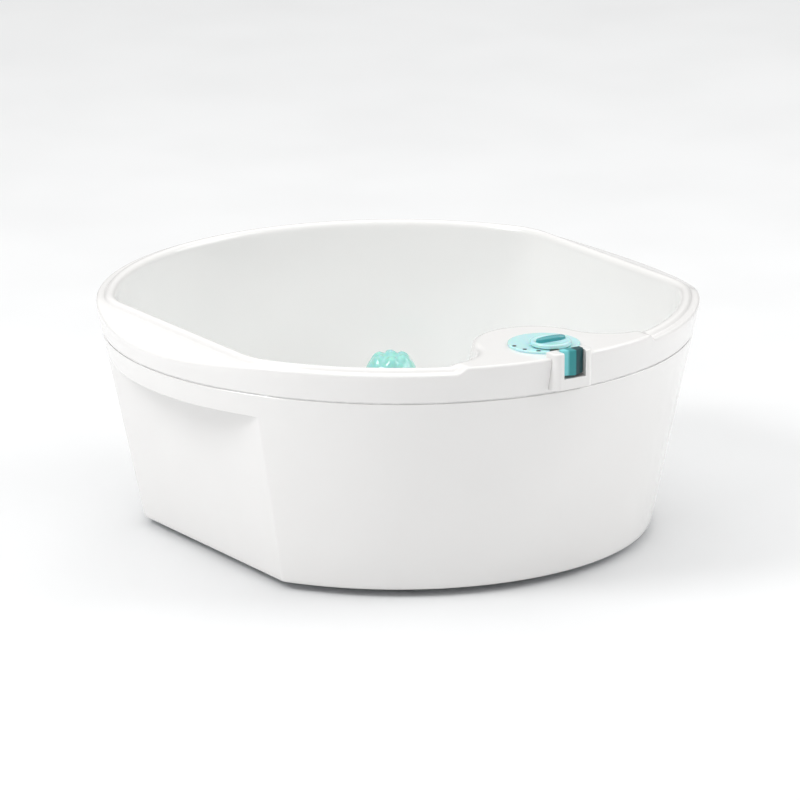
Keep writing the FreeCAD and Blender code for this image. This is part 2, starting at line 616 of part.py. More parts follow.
def blower_fan():
    """Centrifugal fan: hub, back disc and leaning blades."""
    low, high = BLOWER_Z + 4, BLOWER_Z + BLOWER_H - 3
    root = FAN_HUB_R - 1
    hub = cyl(FAN_HUB_R, low, high, 0, BLOWER_Y).fuse(cyl(FAN_R, low, low + 1.5, 0, BLOWER_Y))
    blades = []
    for i in range(BLADES):
        blade = block(root, FAN_R - 0.5, -BLADE_T / 2, BLADE_T / 2, low + 1, high)
        blade.rotate(V(root, 0, 0), Z_AXIS, 20)
        blade.rotate(V(0, 0, 0), Z_AXIS, 360 / BLADES * i)
        blades.append(blade.translate(V(0, BLOWER_Y, 0)))
    rotor = hub.multiFuse(blades).common(cyl(FAN_R, low, high, 0, BLOWER_Y))
    return rotor.cut(cyl(SHAFT_R, low - 1, high + 1, 0, BLOWER_Y))


def blower_shaft():
    return cyl(SHAFT_R, BLOWER_Z + 3, BLOWER_Z + BLOWER_H + 2 + MOTOR_H + 2, 0, BLOWER_Y)


def motor_can(radius, z0, z1, x, y):
    """A small motor: can with rolled edges and an end boss, bored for its shaft."""
    can = cyl(radius, z0, z1, x, y)
    can = can.makeFillet(1.5, edges_at(can, z1))
    can = can.fuse(cyl(radius * 0.35, z1 - 1, z1 + 1.5, x, y))
    return can.cut(cyl(SHAFT_R + RUN, z0 - 1, z1 + 5, x, y))


def blower_grommets():
    floor = FOOT_H + COVER_T
    return [ring(4.5, SCREW_R + 0.3, floor, BLOWER_Z, x, y) for x, y in blower_ear_places()]


def blower_screws():
    top = BLOWER_Z + 3
    return [cyl(SCREW_R, FOOT_H + 0.5, top + 0.5, x, y).fuse(cyl(HEAD_R, top, top + HEAD_H, x, y))
            for x, y in blower_ear_places()]


def air_tee():
    """Socket for the blower's nozzle, a round hub, and an arm to each hose."""
    stem_len = TEE_Y - TEE_SOCKET_Y
    start = V(0, TEE_SOCKET_Y, AIR_Z)
    tee = cyl(TEE_HUB_R, AIR_Z - TEE_HUB_R, AIR_Z + TEE_HUB_R, 0, TEE_Y)
    tee = tee.fuse(rod(TEE_HUB_R - 0.5, 8, start, Y_AXIS)).fuse(rod(SPIGOT_R, stem_len, start, Y_AXIS))
    for side in SIDES:
        tee = tee.fuse(rod(SPIGOT_R, TEE_ARM, V(0, TEE_Y, AIR_Z), X_AXIS * side))
    tee = tee.cut(cyl(SPIGOT_R, AIR_Z - SPIGOT_R, AIR_Z + SPIGOT_R, 0, TEE_Y))
    tee = tee.cut(rod(SPIGOT_R, 6, start, Y_AXIS)).cut(rod(AIR_BORE, stem_len, start, Y_AXIS))
    return tee.cut(rod(AIR_BORE, 2 * TEE_ARM + 2, V(-TEE_ARM - 1, TEE_Y, AIR_Z), X_AXIS))


def air_hose(side):
    """From the tee along under the floor, then up over a bubble panel's spigot."""
    route = [V(side * 9, TEE_Y, AIR_Z), V(side * 42, TEE_Y, AIR_Z), V(side * PANEL_X, TEE_Y + 6, AIR_Z - 8),
             V(side * PANEL_X, PANEL_Y, AIR_Z - 7), V(side * PANEL_X, PANEL_Y, FLOOR_Z - WALL - 0.5)]
    return swept(route, HOSE_R).cut(swept(route, HOSE_BORE))


# ---------- heat and vibration ----------

def heat_plate():
    top = FLOOR_Z - WALL
    return ring(HEAT_PLATE_R1, HEAT_PLATE_R0, top - HEAT_PLATE_T, top)


def heater_z():
    return FLOOR_Z - WALL - HEAT_PLATE_T - HEATER_TUBE


def heater_ring():
    """Ring tube with a gap at the back, where its two cold ends turn down."""
    sweep = 360 - 2 * COLD_END_GAP
    loop = Part.makeTorus(HEATER_R, HEATER_TUBE, V(0, 0, heater_z()), Z_AXIS, -180, 180, sweep)
    loop.rotate(V(0, 0, 0), Z_AXIS, 90 + COLD_END_GAP)
    ends = []
    for sign in SIDES:
        angle = math.radians(90 + sign * COLD_END_GAP)
        x, y = HEATER_R * math.cos(angle), HEATER_R * math.sin(angle)
        ends.append(cyl(HEATER_TUBE, heater_z() - 12, heater_z(), x, y))
        ends.append(Part.makeSphere(HEATER_TUBE, V(x, y, heater_z())))
    return loop.multiFuse(ends)


def heater_clips():
    top = FLOOR_Z - WALL - HEAT_PLATE_T
    tube = Part.makeTorus(HEATER_R, HEATER_TUBE + 0.02, V(0, 0, heater_z()), Z_AXIS)
    clips = []
    for angle in CLIP_ANGLES:
        strap = block(HEATER_R - 6, HEATER_R + 6, -4, 4, heater_z() - HEATER_TUBE - 1.2, top)
        strap.rotate(V(0, 0, 0), Z_AXIS, angle)
        clips.append(strap.cut(tube))
    return clips


def thermostat():
    """Snap-disc thermostat under the heat plate, with two tags."""
    top = FLOOR_Z - WALL - HEAT_PLATE_T
    disc = cyl(8, top - 6, top, -SENSOR_R, 0).fuse(cyl(6, top - 9, top - 5, -SENSOR_R, 0))
    tags = [block(-SENSOR_R - 0.4, -SENSOR_R + 0.4, s * 3 - 1, s * 3 + 1, top - 14, top - 8) for s in SIDES]
    return disc.multiFuse(tags)


def thermal_fuse():
    z = FLOOR_Z - WALL - HEAT_PLATE_T - 2.5
    case = rod(2.5, 16, V(SENSOR_R, -8, z), Y_AXIS)
    leads = rod(0.6, 30, V(SENSOR_R, -15, z), Y_AXIS)
    return case.fuse(leads)


def vibration_bracket():
    """Flanged sleeve that hangs the vibration motor inside the pillar."""
    top = FLOOR_Z - WALL
    flange = cyl(40, top - 2, top, 0, PILLAR_Y).fuse(cyl(SHAKER_R + 2, top - 2, SHAKER_Z1 - 2, 0, PILLAR_Y))
    return flange.cut(cyl(SHAKER_R, top - 5, SHAKER_Z1 + 5, 0, PILLAR_Y))


def vibration_shaft():
    return cyl(SHAFT_R, SHAKER_Z0 - 15, SHAKER_Z1 + 2, 0, PILLAR_Y)


def eccentric_weight():
    """Half-round weight, heavy on one side of the shaft."""
    low, high = SHAKER_Z0 - 14, SHAKER_Z0 - 2
    half = cyl(SHAKER_R - 1.5, low, high, 0, PILLAR_Y)
    half = half.common(block(-SHAKER_R, SHAKER_R, PILLAR_Y, PILLAR_Y + SHAKER_R, low, high))
    return half.fuse(cyl(4, low, high, 0, PILLAR_Y)).cut(cyl(SHAFT_R, low - 1, high + 1, 0, PILLAR_Y))


# ---------- mains inlet and electronics ----------

def mains_inlet():
    """Two-pin inlet whose face follows the wall; its socket opens to the back."""
    body = block(-INLET_X, INLET_X, BASE_R - INLET_DEPTH, BASE_R + 30, INLET_Z0, INLET_Z1)
    body = body.common(wall_cone(INLET_Z0 - 5, INLET_Z1 + 5, -1.0))
    middle, floor = (INLET_Z0 + INLET_Z1) / 2, socket_floor_y()
    socket = block(-SOCKET_R, SOCKET_R, floor, BASE_R + 40, middle - SOCKET_R, middle + SOCKET_R)
    socket = socket.multiFuse([rod(SOCKET_R, 60, V(s * SOCKET_R, floor, middle), Y_AXIS) for s in SIDES])
    return body.cut(socket)


def socket_floor_y():
    return BASE_R - SOCKET_DEPTH


def inlet_pins():
    middle = (INLET_Z0 + INLET_Z1) / 2
    return [rod(1.2, 11, V(s * PIN_PITCH / 2, socket_floor_y(), middle), Y_AXIS) for s in SIDES]


def board_screw_places():
    reach_x, reach_y = BOARD_W / 2 - 5, BOARD_L / 2 - 5
    return [(sx * reach_x, BOARD_Y + sy * reach_y) for sx in SIDES for sy in SIDES]


def control_board():
    half_w, half_l = BOARD_W / 2, BOARD_L / 2
    board = block(-half_w, half_w, BOARD_Y - half_l, BOARD_Y + half_l, BOARD_Z, BOARD_Z + BOARD_T)
    return board.cut(Part.makeCompound([cyl(SCREW_R + 0.3, 0, 30, x, y) for x, y in board_screw_places()]))


def board_components():
    """Relay, transformer, terminal block and two capacitors, standing on the board."""
    low = BOARD_Z + BOARD_T
    relay = block(-24, -8, BOARD_Y - 8, BOARD_Y + 12, low, low + 14)
    transformer = block(-2, 20, BOARD_Y - 10, BOARD_Y + 10, low, low + 17)
    capacitors = [cyl(4, low, low + 13, 27, BOARD_Y + s * 5.5) for s in SIDES]
    terminal = block(-20, 20, BOARD_Y - BOARD_L / 2 + 1, BOARD_Y - BOARD_L / 2 + 8, low, low + 9)
    return [relay, transformer, terminal] + capacitors


def board_screws():
    top = BOARD_Z + BOARD_T
    return [cyl(SCREW_R, FOOT_H + 1, top + 0.5, x, y).fuse(cyl(HEAD_R - 0.8, top, top + HEAD_H, x, y))
            for x, y in board_screw_places()]


def wiring_harness():
    """Bundle from the board round the wall and up to the switches."""
    low = BOARD_Z + 6
    turns = [math.radians(a) for a in (56, 34, 12, -12, -34, -56)]
    swing = [V(HARNESS_RING_R * math.cos(a), HARNESS_RING_R * math.sin(a), low) for a in turns]
    start = [V(40.2, BOARD_Y, low + 2), V(62, BOARD_Y + 2, low + 1)]
    rise = [V(52, -160, low + 4), V(44, -172, 60), V(44, -180, 120), V(38, -196, 165), V(28, KNOB_Y, 181),
            V(SWITCH_W / 2 + 0.2, KNOB_Y, 181)]
    return swept(start + swing + rise, HARNESS_R)


# ---------- write the nodes ----------

def main():
    save("base_shell", base_shell())
    save("upper_tub", upper_tub())
    save("rim_gasket", rim_gasket())
    save("bottom_cover", bottom_cover())
    for sy, end in ((-1, "front"), (1, "back")):
        for sx in SIDES:
            save("foot_" + end + "_" + SIDE_NAME[sx], rubber_foot(sx * FOOT_XY, sy * FOOT_XY))
    save("cover_screws", *[pan_screw(x, y, 12) for x, y in cover_screw_places()])
    save("tub_screws", *[pan_screw(x, y, 18) for x, y in leg_places()])
    save("massage_cap", massage_cap())
    for side in SIDES:
        name = SIDE_NAME[side]
        save("roller_cradle_" + name, cradle(side))
        save("bubble_panel_" + name, bubble_panel(side))
        save("air_hose_" + name, air_hose(side))
        for end, y in zip(("front", "back"), roller_ys()):
            save("massage_roller_" + end + "_" + name, roller(side, y))
            save("roller_axle_" + end + "_" + name, roller_axle(side, y))
    save("dial_plate", dial_plate())
    save("function_knob", function_knob())
    save("switch_shaft", switch_shaft())
    save("rotary_switch", rotary_switch())
    save("switch_nut", switch_nut())
    save("rocker_bezel", rocker_bezel())
    save("power_rocker", power_rocker())
    save("rocker_pin", rocker_pin())
    save("rocker_switch", rocker_switch())
    save("blower_housing", blower_housing())
    save("blower_cover", blower_cover())
    save("blower_fan", blower_fan())
    save("blower_shaft", blower_shaft())
    blower_top = BLOWER_Z + BLOWER_H + 2
    save("blower_motor", motor_can(MOTOR_R, blower_top, blower_top + MOTOR_H, 0, BLOWER_Y))
    save("blower_grommets", *blower_grommets())
    save("blower_screws", *blower_screws())
    save("air_tee", air_tee())
    save("heat_plate", heat_plate())
    save("heater_ring", heater_ring())
    save("heater_clips", *heater_clips())
    save("thermostat", thermostat())
    save("thermal_fuse", thermal_fuse())
    save("vibration_bracket", vibration_bracket())
    save("vibration_motor", motor_can(SHAKER_R - 0.02, SHAKER_Z0, SHAKER_Z1 - 1, 0, PILLAR_Y))
    save("vibration_shaft", vibration_shaft())
    save("eccentric_weight", eccentric_weight())
    save("mains_inlet", mains_inlet())
    save("inlet_pins", *inlet_pins())
    save("control_board", control_board())
    save("board_components", *board_components())
    save("board_screws", *board_screws())
    save("wiring_harness", wiring_harness())


main()
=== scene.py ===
"""Foot spa basin: its looks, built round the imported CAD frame. Lengths in the shape code are millimetres."""

import json
import math

import bmesh
import bpy
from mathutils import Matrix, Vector


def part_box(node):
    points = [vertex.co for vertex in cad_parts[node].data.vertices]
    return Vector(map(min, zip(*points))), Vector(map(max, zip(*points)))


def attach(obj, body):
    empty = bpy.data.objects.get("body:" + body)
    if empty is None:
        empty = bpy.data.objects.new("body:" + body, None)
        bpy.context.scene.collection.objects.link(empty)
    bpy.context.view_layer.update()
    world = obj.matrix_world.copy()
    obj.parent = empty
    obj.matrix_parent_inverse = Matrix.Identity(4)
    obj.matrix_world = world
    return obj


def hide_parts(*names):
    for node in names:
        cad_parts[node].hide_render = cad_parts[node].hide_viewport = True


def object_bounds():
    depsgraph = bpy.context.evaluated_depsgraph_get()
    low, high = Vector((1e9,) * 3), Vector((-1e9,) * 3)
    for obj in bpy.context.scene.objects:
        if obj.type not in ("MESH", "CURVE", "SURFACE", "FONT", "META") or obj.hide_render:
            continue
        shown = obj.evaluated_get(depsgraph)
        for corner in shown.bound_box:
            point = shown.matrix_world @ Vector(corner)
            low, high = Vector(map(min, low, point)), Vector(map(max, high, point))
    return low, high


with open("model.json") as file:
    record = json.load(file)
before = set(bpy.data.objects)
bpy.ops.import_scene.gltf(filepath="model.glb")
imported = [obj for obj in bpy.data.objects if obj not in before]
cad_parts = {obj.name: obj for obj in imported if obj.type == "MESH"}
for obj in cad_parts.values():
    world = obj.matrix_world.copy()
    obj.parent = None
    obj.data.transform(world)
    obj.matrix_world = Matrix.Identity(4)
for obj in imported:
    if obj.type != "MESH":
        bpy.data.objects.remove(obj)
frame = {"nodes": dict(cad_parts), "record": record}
cad_low, cad_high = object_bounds()

MM = 0.001
TAU = 2 * math.pi


def box_mm(node):
    low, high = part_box(node)
    return low / MM, high / MM


# ---------- sizes the shapes share with the CAD, in millimetres ----------

SHELL_LOW, SHELL_HIGH = box_mm("base_shell")
PLATE_LOW, PLATE_HIGH = box_mm("dial_plate")
CAP_LOW, CAP_HIGH = box_mm("massage_cap")
KNOB_LOW, KNOB_HIGH = box_mm("function_knob")
ROCKER_LOW, ROCKER_HIGH = box_mm("power_rocker")
BEZEL_LOW, BEZEL_HIGH = box_mm("rocker_bezel")
INLET_LOW, INLET_HIGH = box_mm("mains_inlet")
PILLAR = Vector(((CAP_LOW.x + CAP_HIGH.x) / 2, (CAP_LOW.y + CAP_HIGH.y) / 2))
DIAL = Vector(((PLATE_LOW.x + PLATE_HIGH.x) / 2, (PLATE_LOW.y + PLATE_HIGH.y) / 2))
KNOB = Vector(((KNOB_LOW.x + KNOB_HIGH.x) / 2, (KNOB_LOW.y + KNOB_HIGH.y) / 2))

BASE_Z, SEAM_Z, LIP_Z = SHELL_LOW.z, SHELL_HIGH.z, 145.0
DECK_Z, RIM_Z, FLOOR_Z = PLATE_LOW.z, 188.0, 44.0
SKIRT_Z = box_mm("rim_gasket")[1].z
WALL, LIP_T, CUT_GAP = 3.0, 4.0, 0.2
BASE_R, LEAN = 203.0, 0.204
FLAT_X, FLAT_LEAN, CORNER_R = 175.0, 0.2, 8.0

LEDGE_X, LEDGE_SLOPE = 206.0, 0.28
LEDGE_SOFT = 2.5
DECK_Y, DECK_OUT, DECK_IN = -225.0, 92.0, 84.0
BOWL_R, BOWL_FLAT_X, BOWL_CORNER_R = 224.0, 199.0, 60.0
BUMP_Y, BUMP_R, EAR_R = 190.0, 48.0, 40.0
DRAFT, FLOOR_FILLET = 0.2, 18.0
PILLAR_R0, PILLAR_R1, PILLAR_Z = 30.0, 21.0, 117.0
POST_R, POST_Z = 11.0, 126.0


# ---------- small helpers ----------

def smooth(low, high, value):
    """0 below low, 1 above high, with a soft start and end between them."""
    t = min(1.0, max(0.0, (value - low) / (high - low)))
    return t * t * (3 - 2 * t)


def mix(a, b, t):
    return a + (b - a) * t


def new_mesh(name, verts_mm, faces):
    mesh = bpy.data.meshes.new(name)
    mesh.from_pydata([(x * MM, y * MM, z * MM) for x, y, z in verts_mm], [], faces)
    mesh.update()
    piece = bpy.data.objects.new(name, mesh)
    bpy.context.scene.collection.objects.link(piece)
    return piece


def tidy_mesh(piece, crease_deg=38.0):
    """Merges doubled points, turns all normals outwards, and shades smooth except over real creases."""
    bm = bmesh.new()
    bm.from_mesh(piece.data)
    bmesh.ops.remove_doubles(bm, verts=bm.verts, dist=0.01 * MM)
    bmesh.ops.dissolve_degenerate(bm, dist=0.005 * MM, edges=bm.edges)
    bmesh.ops.recalc_face_normals(bm, faces=bm.faces)
    limit = math.radians(crease_deg)
    for face in bm.faces:
        face.smooth = True
    for edge in bm.edges:
        edge.smooth = not (len(edge.link_faces) == 2 and edge.calc_face_angle(0) > limit)
    bm.to_mesh(piece.data)
    bm.free()
    return piece


def apply_modifier(piece, kind, **settings):
    modifier = piece.modifiers.new(kind.title(), kind)
    for key, value in settings.items():
        setattr(modifier, key, value)
    evaluated = piece.evaluated_get(bpy.context.evaluated_depsgraph_get())
    mesh = bpy.data.meshes.new_from_object(evaluated)
    piece.modifiers.clear()
    piece.data = mesh
    return piece


def grid_faces(rows, columns, closed=True, keep=lambda row, column: True):
    """Quads between neighbouring rows of points; closed joins the last column to the first."""
    faces = []
    for row in range(rows - 1):
        for column in range(columns if closed else columns - 1):
            if keep(row, column):
                after = (column + 1) % columns
                faces.append((row * columns + column, row * columns + after,
                              (row + 1) * columns + after, (row + 1) * columns + column))
    return faces


def finish_piece(piece, body, slot, *nodes):
    piece.data.materials.clear()
    piece.data.materials.append(MATERIALS[slot])
    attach(piece, body)
    if nodes:
        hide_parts(*nodes)
    return piece


# ---------- materials ----------

def srgb(red, green, blue):
    """A colour given as 0 to 255 display values, as linear values."""
    levels = [value / 255 for value in (red, green, blue)]
    return tuple(v / 12.92 if v <= 0.04045 else ((v + 0.055) / 1.055) ** 2.4 for v in levels) + (1.0,)


def shade(colour, factor):
    return tuple(channel * factor for channel in colour[:3]) + (1.0,)


class Surface:
    """A Principled material with the few node patterns that every finish here is made from."""

    def __init__(self, name, **settings):
        self.material = bpy.data.materials.new(name)
        self.material.use_nodes = True
        self.tree = self.material.node_tree
        self.shader = self.tree.nodes["Principled BSDF"]
        self.place = self.tree.nodes.new("ShaderNodeTexCoord").outputs["Object"]
        for key, value in settings.items():
            self.shader.inputs[key.replace("_", " ")].default_value = value

    def add(self, kind, **settings):
        node = self.tree.nodes.new(kind)
        for key, value in settings.items():
            setattr(node, key, value)
        return node

    def link(self, output, target):
        self.tree.links.new(output, target)

    def stretched(self, x, y, z):
        """Coordinates squeezed or drawn out along each axis, for brushed and streaked patterns."""
        mapping = self.add("ShaderNodeMapping")
        mapping.inputs["Scale"].default_value = (x, y, z)
        self.link(self.place, mapping.inputs["Vector"])
        return mapping.outputs["Vector"]

    def noise(self, scale, detail=3.0, place=None, distortion=0.0):
        node = self.add("ShaderNodeTexNoise")
        node.inputs["Scale"].default_value = scale
        node.inputs["Detail"].default_value = detail
        node.inputs["Distortion"].default_value = distortion
        self.link(place or self.place, node.inputs["Vector"])
        return node.outputs["Fac"]

    def cells(self, scale, feature="F1"):
        node = self.add("ShaderNodeTexVoronoi", feature=feature)
        node.inputs["Scale"].default_value = scale
        self.link(self.place, node.inputs["Vector"])
        return node.outputs["Distance"]

    def spread(self, value, from_low, from_high, to_low, to_high):
        node = self.add("ShaderNodeMapRange", interpolation_type="SMOOTHSTEP")
        node.inputs["From Min"].default_value = from_low
        node.inputs["From Max"].default_value = from_high
        node.inputs["To Min"].default_value = to_low
        node.inputs["To Max"].default_value = to_high
        self.link(value, node.inputs["Value"])
        return node.outputs["Result"]

    def maths(self, operation, first, second):
        node = self.add("ShaderNodeMath", operation=operation)
        for socket, value in zip(node.inputs, (first, second)):
            if isinstance(value, (int, float)):
                socket.default_value = value
            else:
                self.link(value, socket)
        return node.outputs["Value"]

    def height(self):
        """The z coordinate, in metres above the floor at rest."""
        split = self.add("ShaderNodeSeparateXYZ")
        self.link(self.place, split.inputs["Vector"])
        return split.outputs["Z"]

    def blend(self, factor, first, second):
        """Mixes two colours, each a value or another node's output."""
        node = self.add("ShaderNodeMix", data_type="RGBA")
        colour_inputs = [socket for socket in node.inputs if socket.type == "RGBA"]
        self.link(factor, node.inputs["Factor"])
        for socket, colour in zip(colour_inputs, (first, second)):
            if isinstance(colour, tuple):
                socket.default_value = colour
            else:
                self.link(colour, socket)
        return next(socket for socket in node.outputs if socket.type == "RGBA")

    def colour(self, output):
        self.link(output, self.shader.inputs["Base Color"])

    def roughness(self, output):
        self.link(output, self.shader.inputs["Roughness"])

    def bump(self, *layers):
        """Stacks (height output, depth in millimetres) layers into the normal."""
        normal = None
        for output, depth in layers:
            node = self.add("ShaderNodeBump")
            node.inputs["Distance"].default_value = depth * MM
            self.link(output, node.inputs["Height"])
            if normal is not None:
                self.link(normal, node.inputs["Normal"])
            normal = node.outputs["Normal"]
        self.link(normal, self.shader.inputs["Normal"])


def moulded(name, colour, gloss, tone=0.96, scuffs=0.05, peel=0.006, grain=0.0, **settings):
    """Moulded plastic: faint tone drift, uneven gloss, fine rubbed streaks and an orange-peel skin."""
    s = Surface(name, **settings)
    drift = s.spread(s.noise(9, 2), 0.35, 0.65, 0.0, 1.0)
    tinted = s.blend(drift, colour, shade(colour, tone))
    specks = s.spread(s.noise(1400, 1), 0.62, 0.75, 0.0, 0.25)
    s.colour(s.blend(specks, tinted, shade(colour, tone - 0.04)))
    streaks = s.noise(26, 4, s.stretched(1.0, 1.0, 3.0), 0.3)
    rubbed = s.spread(streaks, 0.5, 0.75, 0.0, scuffs)
    patches = s.spread(s.noise(22, 3), 0.3, 0.7, gloss * 0.8, gloss * 1.25)
    s.roughness(s.maths("ADD", patches, rubbed))
    layers = [(s.noise(240, 1), peel)]
    if grain:
        layers.append((s.noise(2600, 2), grain))
    s.bump(*layers)
    return s.material


def rubber(name, colour, rough):
    """Moulded rubber: matt, finely pitted, a little dusty."""
    s = Surface(name, Specular_IOR_Level=0.35)
    dust = s.spread(s.noise(70, 5), 0.45, 0.75, 0.0, 0.5)
    s.colour(s.blend(dust, colour, shade(colour, 1.5)))
    s.roughness(s.spread(s.noise(120, 4), 0.3, 0.7, rough - 0.12, rough + 0.1))
    s.bump((s.noise(1800, 2), 0.03), (s.cells(700), 0.02))
    return s.material


def brushed(name, colour, rough, stretch, depth=0.01):
    """Metal with fine parallel brush lines, handling marks and a little tarnish."""
    s = Surface(name, Metallic=1.0)
    lines = s.noise(420, 3, s.stretched(*stretch))
    tarnish = s.spread(s.noise(55, 5), 0.45, 0.75, 0.0, 0.6)
    base = s.blend(lines, shade(colour, 0.82), colour)
    s.colour(s.blend(tarnish, base, shade(colour, 0.7)))
    marks = s.spread(s.noise(35, 4), 0.5, 0.8, 0.0, 0.15)
    s.roughness(s.maths("ADD", s.spread(lines, 0.2, 0.8, rough - 0.08, rough + 0.1), marks))
    s.bump((lines, depth))
    return s.material


def lit_and_shaded_facets(name, left, middle, right):
    """Tinted plastic with painted light and shade: the facet left of x = 0 painted lit, the one right of it
    painted dark as shade, with a mid tone between.
    """
    s = Surface(name, Specular_IOR_Level=0.3)
    split = s.add("ShaderNodeSeparateXYZ")
    s.link(s.place, split.inputs["Vector"])
    x = split.outputs["X"]
    # painted light and shade: lit colour on the left facet, deep shade colour on the right, chosen by x alone
    facets = s.blend(s.spread(x, -0.0066, -0.0040, 0.0, 1.0), left, middle)
    facets = s.blend(s.spread(x, -0.0006, 0.0012, 0.0, 1.0), facets, right)
    s.colour(s.blend(s.spread(s.noise(30, 3), 0.4, 0.7, 0.0, 0.12), facets, middle))
    s.roughness(s.spread(s.noise(60, 3), 0.3, 0.7, 0.28, 0.4))
    s.bump((s.noise(240, 1), 0.006))
    return s.material


def circuit_board(name):
    """Green solder mask over darker tracks, with pale silk specks."""
    s = Surface(name, Coat_Weight=0.3)
    tracks = s.spread(s.cells(260, "DISTANCE_TO_EDGE"), 0.02, 0.06, 1.0, 0.0)
    mask = s.blend(tracks, srgb(28, 98, 58), srgb(20, 70, 40))
    vias = s.spread(s.cells(420), 0.05, 0.12, 1.0, 0.0)
    s.colour(s.blend(vias, mask, srgb(196, 176, 110)))
    s.roughness(s.spread(s.noise(90, 3), 0.3, 0.7, 0.25, 0.45))
    s.bump((tracks, 0.03))
    return s.material


def braided(name, colour):
    """Sleeved wiring with a fine diagonal braid."""
    s = Surface(name, Specular_IOR_Level=0.4)
    wave = s.add("ShaderNodeTexWave", wave_type="BANDS", bands_direction="DIAGONAL")
    wave.inputs["Scale"].default_value = 380
    wave.inputs["Distortion"].default_value = 1.5
    s.link(s.place, wave.inputs["Vector"])
    s.colour(s.blend(wave.outputs["Fac"], shade(colour, 0.6), shade(colour, 1.6)))
    s.roughness(s.spread(s.noise(200, 3), 0.3, 0.7, 0.5, 0.75))
    s.bump((wave.outputs["Fac"], 0.08))
    return s.material


def make_materials():
    gloss = dict(Coat_Weight=0.35, Coat_Roughness=0.06)
    clear = dict(Coat_Weight=0.5, Coat_Roughness=0.04, Subsurface_Weight=0.35, Subsurface_Scale=0.006)
    return {
        "white_shell": moulded("white_shell", srgb(244, 243, 242), 0.17, tone=0.985, **gloss),
        "seam_gasket": rubber("seam_gasket", srgb(238, 238, 238), 0.7),
        "cover_plastic": moulded("cover_plastic", srgb(226, 228, 230), 0.42, scuffs=0.2, grain=0.02),
        "foot_rubber": rubber("foot_rubber", srgb(46, 46, 49), 0.75),
        "aqua_cap": moulded("aqua_cap", srgb(165, 236, 228), 0.14, Transmission_Weight=0.25, **clear),
        "teal_roller": moulded("teal_roller", srgb(96, 204, 208), 0.2, Transmission_Weight=0.12, **clear),
        "tray_plastic": moulded("tray_plastic", srgb(222, 242, 242), 0.3, grain=0.01),
        "steel": brushed("steel", srgb(205, 206, 208), 0.28, (1.0, 1.0, 0.06)),
        "dial_aqua": moulded("dial_aqua", srgb(196, 244, 246), 0.16, **clear),
        "teal_control": moulded("teal_control", srgb(70, 178, 186), 0.15, Transmission_Weight=0.15, **clear),
        # painted light and shade: the rocker's left facet painted lit, its right facet painted dark as shade
        "rocker_lit_and_shaded": lit_and_shaded_facets("rocker_lit_and_shaded", srgb(132, 218, 224), srgb(62, 150, 154), srgb(8, 62, 68)),
        "black_plastic": moulded("black_plastic", srgb(44, 44, 47), 0.45, scuffs=0.2, grain=0.03),
        "brass": brushed("brass", srgb(214, 186, 112), 0.3, (1.0, 0.08, 1.0)),
        "blower_plastic": moulded("blower_plastic", srgb(150, 154, 160), 0.45, scuffs=0.15, grain=0.03),
        "motor_can": brushed("motor_can", srgb(186, 188, 192), 0.33, (1.0, 1.0, 0.05)),
        "hose_silicone": rubber("hose_silicone", srgb(216, 220, 220), 0.5),
        "aluminium": brushed("aluminium", srgb(214, 216, 219), 0.36, (0.05, 1.0, 1.0)),
        "board_green": circuit_board("board_green"),
        "harness_black": braided("harness_black", srgb(44, 44, 48)),
    }


MATERIALS = make_materials()


# ---------- upper tub ----------

def arc(centre, radius, start, end, count):
    """Evenly spaced points along an arc, without its last one."""
    angles = [mix(start, end, i / count) for i in range(count)]
    return [(centre[0] + radius * math.cos(a), centre[1] + radius * math.sin(a)) for a in angles]


def mirrored(half):
    """A closed ring from its right half, which runs from the front centre to the rear centre."""
    left = [(-x, y) for x, y in reversed(half[1:-1])]
    return half + left


BUMP_STEPS, EAR_STEPS, ROUND_STEPS, CORNER_STEPS, FLAT_STEPS, REAR_STEPS = 14, 28, 22, 10, 14, 34


def bowl_ring(inset):
    """Plan of the bowl: tangent arcs, with the same point numbers on the same edge at every inset."""
    big, flat, bump = BOWL_R - inset, BOWL_FLAT_X - inset, BUMP_R + inset
    to_ear, bump_to_ear = big - EAR_R, bump + EAR_R
    ear_y = -(to_ear ** 2 + BUMP_Y ** 2 - bump_to_ear ** 2) / (2 * BUMP_Y)
    ear_x = math.sqrt(to_ear ** 2 - ear_y ** 2)
    from_bump, from_centre = math.atan2(ear_y + BUMP_Y, ear_x), math.atan2(ear_y, ear_x)
    corner_x = flat - BOWL_CORNER_R
    corner_y = math.sqrt((big - BOWL_CORNER_R) ** 2 - corner_x ** 2)
    turn = math.atan2(corner_y, corner_x)
    half = arc((0, -BUMP_Y), bump, math.pi / 2, from_bump, BUMP_STEPS)
    half += arc((ear_x, ear_y), EAR_R, from_bump + math.pi, from_centre + TAU, EAR_STEPS)
    half += arc((0, 0), big, from_centre, -turn, ROUND_STEPS)
    half += arc((corner_x, -corner_y), BOWL_CORNER_R, -turn, 0, CORNER_STEPS)
    half += [(flat, mix(-corner_y, corner_y, i / FLAT_STEPS)) for i in range(FLAT_STEPS)]
    half += arc((corner_x, corner_y), BOWL_CORNER_R, 0, turn, CORNER_STEPS)
    half += arc((0, 0), big, turn, math.pi / 2, REAR_STEPS) + [(0.0, big)]
    return mirrored(half)


def deck_share(x, y):
    """1 on the raised control deck, 0 off it, with a soft flank between."""
    return smooth(DECK_OUT, DECK_IN, math.hypot(x, y - DECK_Y)) if y < 0 else 0.0


def ledge_height(x):
    """Height of the rim: level, then sloping down over the carrying ledges beyond a soft crease."""
    past = (abs(x) - LEDGE_X) / LEDGE_SOFT
    return RIM_Z - LEDGE_SLOPE * LEDGE_SOFT * math.log1p(math.exp(min(past, 60)))


def top_height(x, y):
    return mix(ledge_height(x), DECK_Z, deck_share(x, y))


def wall_r(z):
    return BASE_R + (z - BASE_Z) * LEAN


